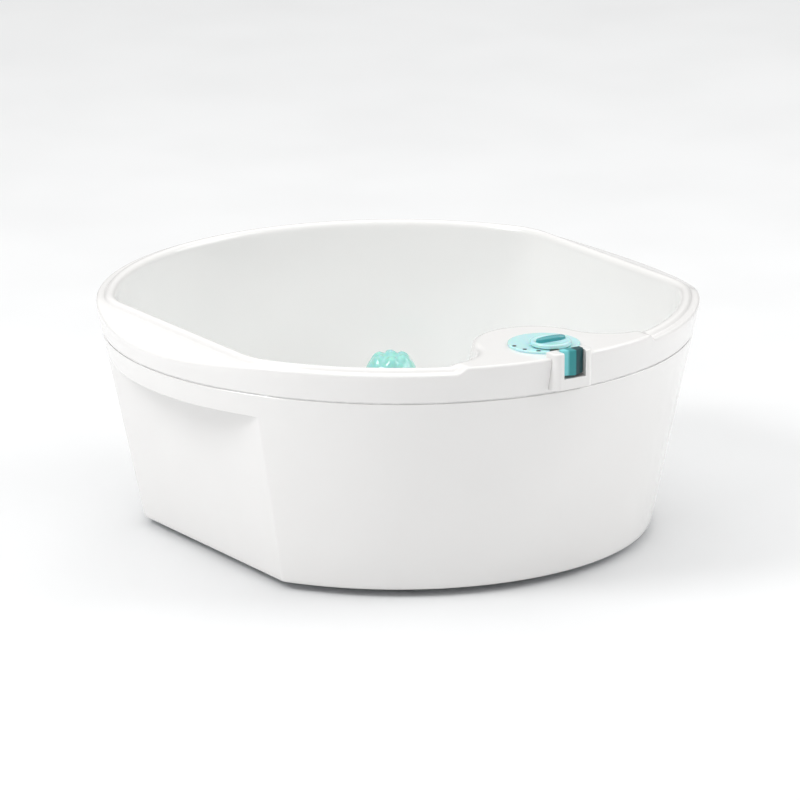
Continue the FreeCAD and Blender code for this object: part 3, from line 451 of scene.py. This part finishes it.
# outset from the bowl's edge, height on the rim, height where the bead melts into the deck
BEAD_PROFILE = ((-0.6, 185.0, 185.5), (-0.1, 187.2, 188.5), (0.5, 188.6, 190.4), (1.4, 189.8, 191.7),
                (2.6, 190.6, 192.5), (4.0, 190.95, 192.9), (5.6, 190.95, 193.0), (7.0, 190.6, 193.0),
                (8.1, 189.9, 193.0), (8.8, 188.9, 193.0), (9.2, 188.3, 193.0), (9.9, 188.02, 193.0),
                (10.6, 188.0, 193.0))
NOTCH_COLUMNS, NOTCH_SPAN = 5, (BEZEL_HIGH.x + CUT_GAP, BEZEL_HIGH.y + CUT_GAP)
DECK_ROWS, OVER_ROWS, OVER_SHARE = 9, 3, 0.85
EDGE_R, EDGE_ROWS = 2.2, 5
SKIRT_TUCK, SKIRT_STEPS, SKIRT_FOOT_ROWS = 0.4, 3, 3
PILLAR_STEPS, FOOT_FILLET, FOOT_STEPS, FLOOR_STEPS = 6, 5.0, 5, 6
FILLET_STEPS, WALL_STEPS, BEAD_START = 7, 11, 4.5


def pillar_rows(angles):
    """Post, pillar and the floor round its foot, from the middle outwards."""
    profile = [(1.0, POST_Z), (POST_R - 1.0, POST_Z), (POST_R - 0.3, POST_Z - 0.3), (POST_R, POST_Z - 1.0),
               (POST_R, PILLAR_Z), (PILLAR_R1 - 1.2, PILLAR_Z), (PILLAR_R1 - 0.4, PILLAR_Z - 0.35),
               (PILLAR_R1 + 0.1, PILLAR_Z - 1.3)]
    foot_z = FLOOR_Z + FOOT_FILLET
    for step in range(1, PILLAR_STEPS + 1):
        z = mix(PILLAR_Z, foot_z, step / PILLAR_STEPS)
        profile.append((pillar_r(z), z))
    for step in range(1, FOOT_STEPS + 1):
        turn = math.pi / 2 * step / FOOT_STEPS
        out, down = FOOT_FILLET * (1 - math.cos(turn)), FOOT_FILLET * math.sin(turn)
        profile.append((pillar_r(foot_z) + out, foot_z - down))
    return [[(PILLAR.x + r * math.cos(a), PILLAR.y + r * math.sin(a), z) for a in angles] for r, z in profile]


def pillar_r(z):
    low = FLOOR_Z - WALL
    return mix(PILLAR_R0, PILLAR_R1, (z - low) / (PILLAR_Z - low))


def bowl_rows():
    """Floor fillet and leaning wall, from the floor up."""
    lean = math.atan(DRAFT)
    middle_z = FLOOR_Z + FLOOR_FILLET
    middle_inset = (RIM_Z - middle_z) * DRAFT + FLOOR_FILLET / math.cos(lean)
    rows = []
    for step in range(FILLET_STEPS + 1):
        turn = (math.pi / 2 - lean) * step / FILLET_STEPS
        z = middle_z - FLOOR_FILLET * math.cos(turn)
        rows.append([(x, y, z) for x, y in bowl_ring(middle_inset - FLOOR_FILLET * math.sin(turn))])
    start = rows[-1][0][2]
    for step in range(1, WALL_STEPS + 1):
        z = mix(start, RIM_Z - BEAD_START, step / WALL_STEPS)
        rows.append([(x, y, z) for x, y in bowl_ring((RIM_Z - z) * DRAFT)])
    return rows


def bead_rows():
    """The lip and round bead, which melt into the deck's edge in front."""
    rows = []
    for outset, bead_z, deck_z in BEAD_PROFILE:
        row = []
        for x, y in bowl_ring(-outset):
            sunk = (ledge_height(x) - RIM_Z) * smooth(4.0, 9.2, outset)
            row.append((x, y, mix(bead_z + sunk, deck_z, deck_share(x, y))))
        rows.append(row)
    return rows


def outer_point(angle):
    """Where the rounded edge between rim and wall begins, on one bearing from the centre."""
    direction = (math.cos(angle), math.sin(angle))
    r = wall_r(RIM_Z)
    for _ in range(4):
        r = wall_r(top_height(r * direction[0], r * direction[1]) - EDGE_R)
    return r, direction


def outer_bearings(inner):
    """A bearing for each column: straight ahead beside the notch, fanned over the ear, radial elsewhere."""
    fan = BUMP_STEPS + EAR_STEPS
    half_turn = len(inner) // 2
    front = wall_r(DECK_Z)
    bearings = [0.0] * len(inner)
    after = math.atan2(inner[fan][1], inner[fan][0])
    beside = -math.acos(NOTCH_SPAN[0] / front)
    for i in range(half_turn + 1):
        if i <= NOTCH_COLUMNS:
            x = NOTCH_SPAN[0] * i / NOTCH_COLUMNS
            bearings[i] = -math.acos(x / front)
        elif i < fan:
            bearings[i] = mix(beside, after, (i - NOTCH_COLUMNS) / (fan - NOTCH_COLUMNS))
        else:
            bearings[i] = math.atan2(inner[i][1], inner[i][0])
    for i in range(half_turn + 1, len(inner)):
        bearings[i] = math.pi - bearings[len(inner) - i]
    return bearings


def rim_path(start, end, notch_x):
    """Plan points from the bead's foot to the outer edge, square to the notch beside it."""
    over = (mix(start[0], end[0], OVER_SHARE), mix(start[1], end[1], OVER_SHARE))
    if notch_x is not None:
        over, end = (notch_x, NOTCH_SPAN[1]), (notch_x, end[1])
    path = [(mix(start[0], over[0], k / DECK_ROWS), mix(start[1], over[1], k / DECK_ROWS))
            for k in range(1, DECK_ROWS + 1)]
    path += [(mix(over[0], end[0], k / OVER_ROWS), mix(over[1], end[1], k / OVER_ROWS))
             for k in range(1, OVER_ROWS + 1)]
    return path


def skirt_levels(high):
    """(inset, z) of the rounded outer edge and of the skirt below it, down to the tucked-in foot."""
    turns = [math.pi / 2 * k / EDGE_ROWS for k in range(1, EDGE_ROWS + 1)]
    levels = [(EDGE_R * (1 - math.sin(turn)), high - EDGE_R * (1 - math.cos(turn))) for turn in turns]
    low = BEZEL_LOW.z - CUT_GAP
    levels += [(0.0, mix(high - EDGE_R, low, k / SKIRT_STEPS)) for k in range(1, SKIRT_STEPS)]
    return levels + [(0.0, low), (0.0, SKIRT_Z + SKIRT_TUCK), (SKIRT_TUCK, SKIRT_Z)]


def rim_rows(inner):
    """Rim and deck from the bead's foot to the outer edge, then over it and down the skirt."""
    edges = [outer_point(bearing) for bearing in outer_bearings(inner)]
    columns = []
    for i, (start, (r, direction)) in enumerate(zip(inner, edges)):
        end = ((r - EDGE_R) * direction[0], (r - EDGE_R) * direction[1])
        from_front = min(i, len(inner) - i)
        notch_x = None
        if from_front <= NOTCH_COLUMNS:
            notch_x = math.copysign(NOTCH_SPAN[0] * from_front / NOTCH_COLUMNS, end[0])
        path = rim_path(start, end, notch_x)
        column = [(x, y, top_height(x, y)) for x, y in path]
        high = column[-1][2]
        for inset, z in skirt_levels(high):
            reach = wall_r(min(z, high - EDGE_R)) - inset
            if notch_x is None:
                column.append((reach * direction[0], reach * direction[1], z))
            else:
                column.append((notch_x, -math.sqrt(reach ** 2 - notch_x ** 2), z))
        columns.append(column)
    return [list(row) for row in zip(*columns)]


def upper_tub():
    bowl = bowl_rows()
    floor = bowl[0]
    angles = [math.atan2(y - PILLAR.y, x - PILLAR.x) for x, y, _ in floor]
    inside = pillar_rows(angles)
    foot = inside[-1]
    spread = [[tuple(mix(a, b, step / FLOOR_STEPS) for a, b in zip(inner, outer))
               for inner, outer in zip(foot, floor)] for step in range(1, FLOOR_STEPS)]
    bead = bead_rows()
    rim = rim_rows([(x, y) for x, y, _ in bead[-1]])
    rows = inside + spread + bowl + bead + rim
    columns = len(floor)
    first_cut = len(rows) - len(rim) + DECK_ROWS - 1
    last_cut = len(rows) - SKIRT_FOOT_ROWS - 1

    def keep(row, column):
        beside_front = column < NOTCH_COLUMNS or column >= columns - NOTCH_COLUMNS
        return not (beside_front and first_cut <= row <= last_cut)

    faces = grid_faces(len(rows), columns, keep=keep)
    faces.append(tuple(range(columns)))
    piece = new_mesh("upper_tub_shell", [point for row in rows for point in row], faces)
    tidy_mesh(piece)
    apply_modifier(piece, "SOLIDIFY", thickness=WALL * MM, offset=-1.0)
    tidy_mesh(piece)
    return finish_piece(piece, "basin", "white_shell", "upper_tub")


# ---------- base shell ----------

FRONT_STEPS, BEND_STEPS, SIDE_STEPS = 26, 6, 40
WINDOW_STEPS, WINDOW_X = 3, INLET_HIGH.x + CUT_GAP
WINDOW_Z = (INLET_LOW.z - CUT_GAP, INLET_HIGH.z + CUT_GAP)
LIP_ROUND, LIP_ROUND_STEPS, WEB_Z, WEB_ROUND, SHUT = 1.3, 8, SEAM_Z - 2 * WALL, (1.6, 0.5), 0.01
RECESS_Z = (149.0, 153.0)
WALL_LEVELS = (7.4, 10.5, WINDOW_Z[0], 22.0, 30.0, WINDOW_Z[1], 48.0, 60.0, 75.0, 90.0, 105.0,
               120.0, 134.0, LIP_Z - 0.01)


def core_ring(z, inset=0.0):
    """Plan of the outer wall: two round ends, two flats and four soft corners."""
    big = wall_r(z) - inset
    flat = FLAT_X + (z - BASE_Z) * FLAT_LEAN - inset
    corner_x = flat - CORNER_R
    corner_y = math.sqrt((big - CORNER_R) ** 2 - corner_x ** 2)
    turn = math.atan2(corner_y, corner_x)
    half = arc((0, 0), big, -math.pi / 2, -turn, FRONT_STEPS)
    half += arc((corner_x, -corner_y), CORNER_R, -turn, 0, BEND_STEPS)
    half += [(flat, mix(-corner_y, corner_y, i / SIDE_STEPS)) for i in range(SIDE_STEPS)]
    half += arc((corner_x, corner_y), CORNER_R, 0, turn, BEND_STEPS)
    beside = math.acos(WINDOW_X / big)
    half += arc((0, 0), big, turn, beside, FRONT_STEPS)
    steps = [WINDOW_X * (1 - i / WINDOW_STEPS) for i in range(WINDOW_STEPS + 1)]
    half += [(x, math.sqrt(big ** 2 - x ** 2)) for x in steps]
    return mirrored(half)


def lip_x(x, y, z, inset=0.0):
    """The carrying lip's surface at the same y, never inside the wall itself."""
    reach = wall_r(z) - inset
    return math.copysign(max(abs(x), math.sqrt(max(reach ** 2 - y ** 2, 0.0))), x)


def recess_rows():
    """Finger recess behind the lip: up the wall, across under the web, and down the lip's inner face."""
    up = (LIP_Z,) + RECESS_Z + tuple(WEB_Z - drop for drop in WEB_ROUND)
    rows = [[(x, y, z) for x, y in core_ring(z)] for z in up]
    for share in (0.08, 0.5, 0.92):
        rows.append([(mix(x, lip_x(x, y, WEB_Z, LIP_T), share), y, WEB_Z) for x, y in core_ring(WEB_Z)])
    for z in reversed(up[1:]):
        rows.append([(lip_x(x, y, z, LIP_T), y, z) for x, y in core_ring(z)])
    return rows


def lip_edge_row(turn):
    """One row of the lip's rounded lower edge; where the recess is shut, the inner half stays on the wall."""
    row = []
    for x, y in core_ring(LIP_Z):
        inner, outer = lip_x(x, y, LIP_Z, LIP_T), lip_x(x, y, LIP_Z)
        r, out = min(LIP_ROUND, abs(outer - inner) / 2), math.copysign(1.0, x)
        if turn < math.pi / 2:
            r = 0.0 if abs(inner - x) < SHUT else r
            row.append((inner + out * r * (1 - math.cos(turn)), y, LIP_Z + r * (1 - math.sin(turn))))
        else:
            row.append((outer - out * r * (1 + math.cos(turn)), y, LIP_Z + r * (1 - math.sin(turn))))
    return row


def lip_rows():
    """The lip's rounded edge, its outer face, and the seam's small step at the top."""
    rows = [lip_edge_row(math.pi * step / LIP_ROUND_STEPS) for step in range(LIP_ROUND_STEPS + 1)]
    for z in (LIP_Z + 3.5, 152.0, 157.0, SEAM_Z - 0.6):
        rows.append([(lip_x(x, y, z), y, z) for x, y in core_ring(z)])
    rows.append([(lip_x(x, y, SEAM_Z, 0.5), y, SEAM_Z) for x, y in core_ring(SEAM_Z, 0.5)])
    return rows


def base_shell():
    rows = [[(x, y, BASE_Z) for x, y in core_ring(BASE_Z, 1.4)],
            [(x, y, BASE_Z + 0.4) for x, y in core_ring(BASE_Z, 0.4)]]
    window_low, window_high = (len(rows) + WALL_LEVELS.index(z) for z in WINDOW_Z)
    rows += [[(x, y, z) for x, y in core_ring(z)] for z in WALL_LEVELS]
    recess_low = len(rows)
    rows += recess_rows()
    recess_high = len(rows)
    rows += lip_rows()
    columns = len(rows[0])
    rear = columns // 2

    def keep(row, column):
        in_window = rear - WINDOW_STEPS <= column < rear + WINDOW_STEPS and window_low <= row < window_high
        after = (column + 1) % columns
        shut = all(abs(lip_x(x, y, LIP_Z, LIP_T) - x) < SHUT
                   for x, y, _ in (rows[recess_low][column], rows[recess_low][after]))
        in_recess = recess_low <= row < recess_high and shut
        return not in_window and not in_recess

    faces = grid_faces(len(rows), columns, keep=keep)
    piece = new_mesh("base_shell_wall", [point for row in rows for point in row], faces)
    tidy_mesh(piece)
    apply_modifier(piece, "SOLIDIFY", thickness=WALL * MM, offset=-1.0)
    tidy_mesh(piece)
    return finish_piece(piece, "basin", "white_shell", "base_shell")


# ---------- cap, dial, knob and rocker ----------

def lathe_grid(name, centre, radii_heights, turns, shape=lambda r, angle, z: z):
    """A turned surface, closed at both ends, whose heights may vary with the angle."""
    rows = []
    for r, z in radii_heights:
        rows.append([(centre[0] + r * math.cos(TAU * i / turns), centre[1] + r * math.sin(TAU * i / turns),
                      shape(r, TAU * i / turns, z)) for i in range(turns)])
    return closed_stack(name, rows)


def closed_stack(name, rows):
    """Skins a stack of rings and closes its first and last ring with a face."""
    turns, last = len(rows[0]), (len(rows) - 1) * len(rows[0])
    faces = grid_faces(len(rows), turns) + [tuple(range(turns)), tuple(range(last, last + turns))]
    return new_mesh(name, [point for row in rows for point in row], faces)


AXIS_R = 0.3
CAP_TURNS, CAP_STEPS, CAP_SKIRT, CAP_BORE = 96, 32, 6.0, POST_R + 0.4
NUB_COUNT, NUB_RING_R, NUB_R, NUB_H = 6, 13.0, 4.2, 2.2
KNOB_TURNS, GRIP_TURNS = 128, 72
KNOB_DISC_T, GRIP_HALF_L, GRIP_HALF_W, GRIP_WAIST, GRIP_CROWN = 3.4, 13.4, 4.0, 0.05, 0.5
# share of the grip's height, and the width there against the foot's
GRIP_LEVELS = ((0.0, 1.0), (0.3, 0.97), (0.55, 0.93), (0.74, 0.87), (0.87, 0.78), (0.95, 0.64), (0.99, 0.45),
               (1.0, 0.2))
ROCKER_V = 3.8
MARK_R, MARK_INSET, MARK_SUNK, MARK_H, MARK_EDGE, DASH_STEPS = 1.7, 2.6, 0.3, 0.25, 0.12, 4
DOT_BEARINGS, DASH_BEARING, DASH_HALF_SPAN = (172.0, 200.0, 226.0), 254.0, 5.0


def nub_share(r, angle):
    """1 on a nub and 0 between nubs, for a point at this radius and angle on the cap."""
    x, y = r * math.cos(angle), r * math.sin(angle)
    turns = [TAU * i / NUB_COUNT for i in range(NUB_COUNT)]
    nearest = min(math.hypot(x - NUB_RING_R * math.cos(t), y - NUB_RING_R * math.sin(t)) for t in turns)
    return min(math.exp(-(nearest / NUB_R) ** 4) + math.exp(-(r / NUB_R) ** 4), 1.0)


def massage_cap():
    """A soft dome with six round nubs round a middle one, over a hollow that fits the post."""
    radius, low, high = (CAP_HIGH.x - CAP_LOW.x) / 2, CAP_LOW.z, CAP_HIGH.z
    rise, bore_z = high - low - CAP_SKIRT, POST_Z + 0.6

    def dome(r, angle, z):
        return z if z < low + 5 else z - NUB_H * (1 - nub_share(r, angle))

    profile = [(AXIS_R, high)]
    for step in range(1, CAP_STEPS + 1):
        turn = math.pi / 2 * step / CAP_STEPS
        profile.append((radius * math.sin(turn) ** 0.9, high - rise + rise * math.cos(turn)))
    profile += [(radius, low + 4.0), (radius, low + 1.0), (radius - 0.3, low + 0.3), (radius - 1.0, low)]
    profile += [(CAP_BORE + 0.5, low), (CAP_BORE, low + 0.5), (CAP_BORE, bore_z), (AXIS_R, bore_z)]
    piece = tidy_mesh(lathe_grid("massage_cap_dome", PILLAR, profile, CAP_TURNS, dome))
    return finish_piece(piece, "massage_cap", "aqua_cap", "massage_cap")


def knob_disc():
    """Flat disc with a rolled edge and a shallow dish round the grip."""
    radius, low = (KNOB_HIGH.x - KNOB_LOW.x) / 2, KNOB_LOW.z
    top, roll, dish, recess_r, recess_z = low + KNOB_DISC_T, 1.5, 0.4, 8.5, low + 1.4
    profile = [(AXIS_R, top - dish), (radius - 5, top - dish), (radius - 3.4, top - 0.25)]
    profile.append((radius - 2.3, top))
    profile += [(radius - roll + roll * math.sin(t), top - roll + roll * math.cos(t))
                for t in (math.pi / 2 * k / 6 for k in range(7))]
    profile += [(radius, low + 0.5), (radius - 0.5, low)]
    profile += [(recess_r, low), (recess_r, recess_z), (AXIS_R, recess_z)]
    piece = tidy_mesh(lathe_grid("knob_disc", KNOB, profile, KNOB_TURNS))
    return finish_piece(piece, "knob", "dial_aqua", "function_knob")


def knob_grip():
    """The bar across the knob: slightly waisted in plan, drafted sides and a crowned top."""
    low, height = KNOB_LOW.z + KNOB_DISC_T - 0.8, KNOB_HIGH.z - KNOB_LOW.z - KNOB_DISC_T + 0.8
    rows = []
    for share, width in GRIP_LEVELS:
        row = []
        for i in range(GRIP_TURNS):
            a = TAU * i / GRIP_TURNS
            along = math.copysign(abs(math.cos(a)) ** 0.6, math.cos(a))
            across = math.copysign(abs(math.sin(a)) ** 0.8, math.sin(a))
            waist = 1.0 - GRIP_WAIST * (1 - along ** 2)
            x = along * (GRIP_HALF_L - (1 - width) * GRIP_HALF_W)
            y = across * GRIP_HALF_W * width * waist
            row.append((KNOB.x + x, KNOB.y + y, low + height * share - GRIP_CROWN * share * along ** 2))
        rows.append(row)
    piece = tidy_mesh(closed_stack("knob_grip", rows), crease_deg=50)
    return finish_piece(piece, "knob", "teal_control", "function_knob")


def rounded_prism(name, outline, low, high, edge, segments=4):
    """An upright prism with every edge rolled."""
    count = len(outline)
    verts = [(x, y, z) for z in (low, high) for x, y in outline]
    faces = [tuple(range(count)), tuple(range(count, 2 * count))]
    faces += [(i, (i + 1) % count, count + (i + 1) % count, count + i) for i in range(count)]
    piece = new_mesh(name, verts, faces)
    tidy_mesh(piece)
    apply_modifier(piece, "BEVEL", width=edge * MM, segments=segments, limit_method="ANGLE",
                   angle_limit=math.radians(20))
    return tidy_mesh(piece, crease_deg=30)


def power_rocker():
    """V-faced paddle with rolled edges."""
    x, back, nose = ROCKER_HIGH.x, ROCKER_HIGH.y, ROCKER_LOW.y
    side = nose + ROCKER_V
    outline = [(-x, back), (-x, side), (0.0, nose), (x, side), (x, back)]
    piece = rounded_prism("rocker_paddle", outline, ROCKER_LOW.z, ROCKER_HIGH.z, 1.0)
    finish_piece(piece, "rocker", "teal_control", "power_rocker")
    # the paddle takes the finish with painted light on its left facet and painted shade on its right
    piece.data.materials[0] = MATERIALS["rocker_lit_and_shaded"]


def dial_marks():
    """Setting marks near the edge of the dial plate: three dots and a dash."""
    ring_r = (PLATE_HIGH.x - PLATE_LOW.x) / 2 - MARK_INSET
    spans = [(bearing, bearing) for bearing in DOT_BEARINGS]
    spans.append((DASH_BEARING - DASH_HALF_SPAN, DASH_BEARING + DASH_HALF_SPAN))
    for number, (first, last) in enumerate(spans, start=1):
        first, last = math.radians(first), math.radians(last)
        outline = mark_arc(ring_r + MARK_R, first, last) + mark_end(ring_r, last, last)
        outline += mark_arc(ring_r - MARK_R, last, first) + mark_end(ring_r, first, first + math.pi)
        low, high = PLATE_HIGH.z - MARK_SUNK, PLATE_HIGH.z + MARK_H
        mark = rounded_prism("dial_mark_%d" % number, outline, low, high, MARK_EDGE, segments=2)
        finish_piece(mark, "basin", "black_plastic")


def mark_arc(radius, first, last):
    """One long side of a mark; a dot's side is a single point."""
    steps = 0 if first == last else DASH_STEPS
    angles = [first] + [mix(first, last, k / steps) for k in range(1, steps + 1)]
    return [(DIAL.x + radius * math.cos(a), DIAL.y + radius * math.sin(a)) for a in angles]


def mark_end(ring_r, bearing, start):
    """Half circle that closes one end of a mark, turning on from its start direction."""
    centre = (DIAL.x + ring_r * math.cos(bearing), DIAL.y + ring_r * math.sin(bearing))
    return [(centre[0] + MARK_R * math.cos(start + math.pi * k / 8),
             centre[1] + MARK_R * math.sin(start + math.pi * k / 8)) for k in range(1, 8)]


# ---------- carried-over CAD nodes ----------

def dress_cad_nodes():
    """Gives every CAD node that stays its slot's finish."""
    for part in frame["record"]["subparts"]:
        node = frame["nodes"][part["node"]]
        node.data.materials.clear()
        node.data.materials.append(MATERIALS[part["material_slot"]])


# ---------- studio ----------

CAMERA_AZIMUTH, CAMERA_ELEVATION, CAMERA_DISTANCE, LENS = -33.5, 16.0, 4.79, 270.0
KEY_WATTS, FILL_WATTS, TOP_WATTS = 23.0, 22.0, 8.0
SKY_LOW, SKY_HIGH, SKY_TOP, SKY_COLOUR = 0.24, 0.95, 0.9, (1.0, 0.995, 0.985, 1.0)


def area_light(name, azimuth, elevation, distance, size, watts):
    """A square soft light aimed at the basin from one bearing."""
    target = Vector((0.0, 0.0, RIM_Z / 2 * MM))
    away = direction(azimuth, elevation)
    data = bpy.data.lights.new(name, "AREA")
    data.size, data.energy = size, watts
    light = bpy.data.objects.new(name, data)
    bpy.context.scene.collection.objects.link(light)
    light.location = target + away * distance
    light.rotation_euler = away.to_track_quat("Z", "Y").to_euler()


def direction(azimuth, elevation):
    """Unit vector towards a viewer at this bearing; azimuth 0 is in front, at -Y."""
    a, e = math.radians(azimuth), math.radians(elevation)
    return Vector((math.sin(a) * math.cos(e), -math.cos(a) * math.cos(e), math.sin(e)))


def studio_floor():
    """A wide pale ground with a faint mottle."""
    side = 12000.0
    corners = [(-side, -side, 0), (side, -side, 0), (side, side, 0), (-side, side, 0)]
    floor = new_mesh("floor", corners, [(0, 1, 2, 3)])
    s = Surface("floor_pale")
    s.colour(s.blend(s.noise(3, 4), srgb(238, 239, 240), srgb(244, 245, 246)))
    s.roughness(s.spread(s.noise(6, 3), 0.3, 0.7, 0.55, 0.7))
    floor.data.materials.append(s.material)


def sky():
    """A soft white surround that grows brighter towards the zenith."""
    world = bpy.data.worlds.new("studio")
    world.use_nodes = True
    tree = world.node_tree
    place = tree.nodes.new("ShaderNodeTexCoord")
    split = tree.nodes.new("ShaderNodeSeparateXYZ")
    rise = tree.nodes.new("ShaderNodeMapRange")
    rise.inputs["From Min"].default_value = 0.0
    rise.inputs["From Max"].default_value = SKY_TOP
    rise.inputs["To Min"].default_value = SKY_LOW
    rise.inputs["To Max"].default_value = SKY_HIGH
    tree.links.new(place.outputs["Generated"], split.inputs["Vector"])
    tree.links.new(split.outputs["Z"], rise.inputs["Value"])
    tree.links.new(rise.outputs["Result"], tree.nodes["Background"].inputs["Strength"])
    tree.nodes["Background"].inputs["Color"].default_value = SKY_COLOUR
    bpy.context.scene.world = world


def camera():
    scene = bpy.context.scene
    data = bpy.data.cameras.new("view")
    data.lens = LENS
    view = bpy.data.objects.new("view", data)
    scene.collection.objects.link(view)
    away = direction(CAMERA_AZIMUTH, CAMERA_ELEVATION)
    view.location = (cad_low + cad_high) / 2 + away * CAMERA_DISTANCE
    view.rotation_euler = away.to_track_quat("Z", "Y").to_euler()
    scene.camera = view


def studio():
    studio_floor()
    area_light("key", -97, 44, 2.6, 0.9, KEY_WATTS)
    area_light("fill", 62, 34, 3.0, 1.6, FILL_WATTS)
    area_light("top", 160, 76, 2.4, 1.8, TOP_WATTS)
    sky()
    camera()
    bpy.context.scene.view_settings.view_transform = "Standard"


upper_tub()
base_shell()
massage_cap()
knob_disc()
knob_grip()
power_rocker()
dial_marks()
dress_cad_nodes()
studio()
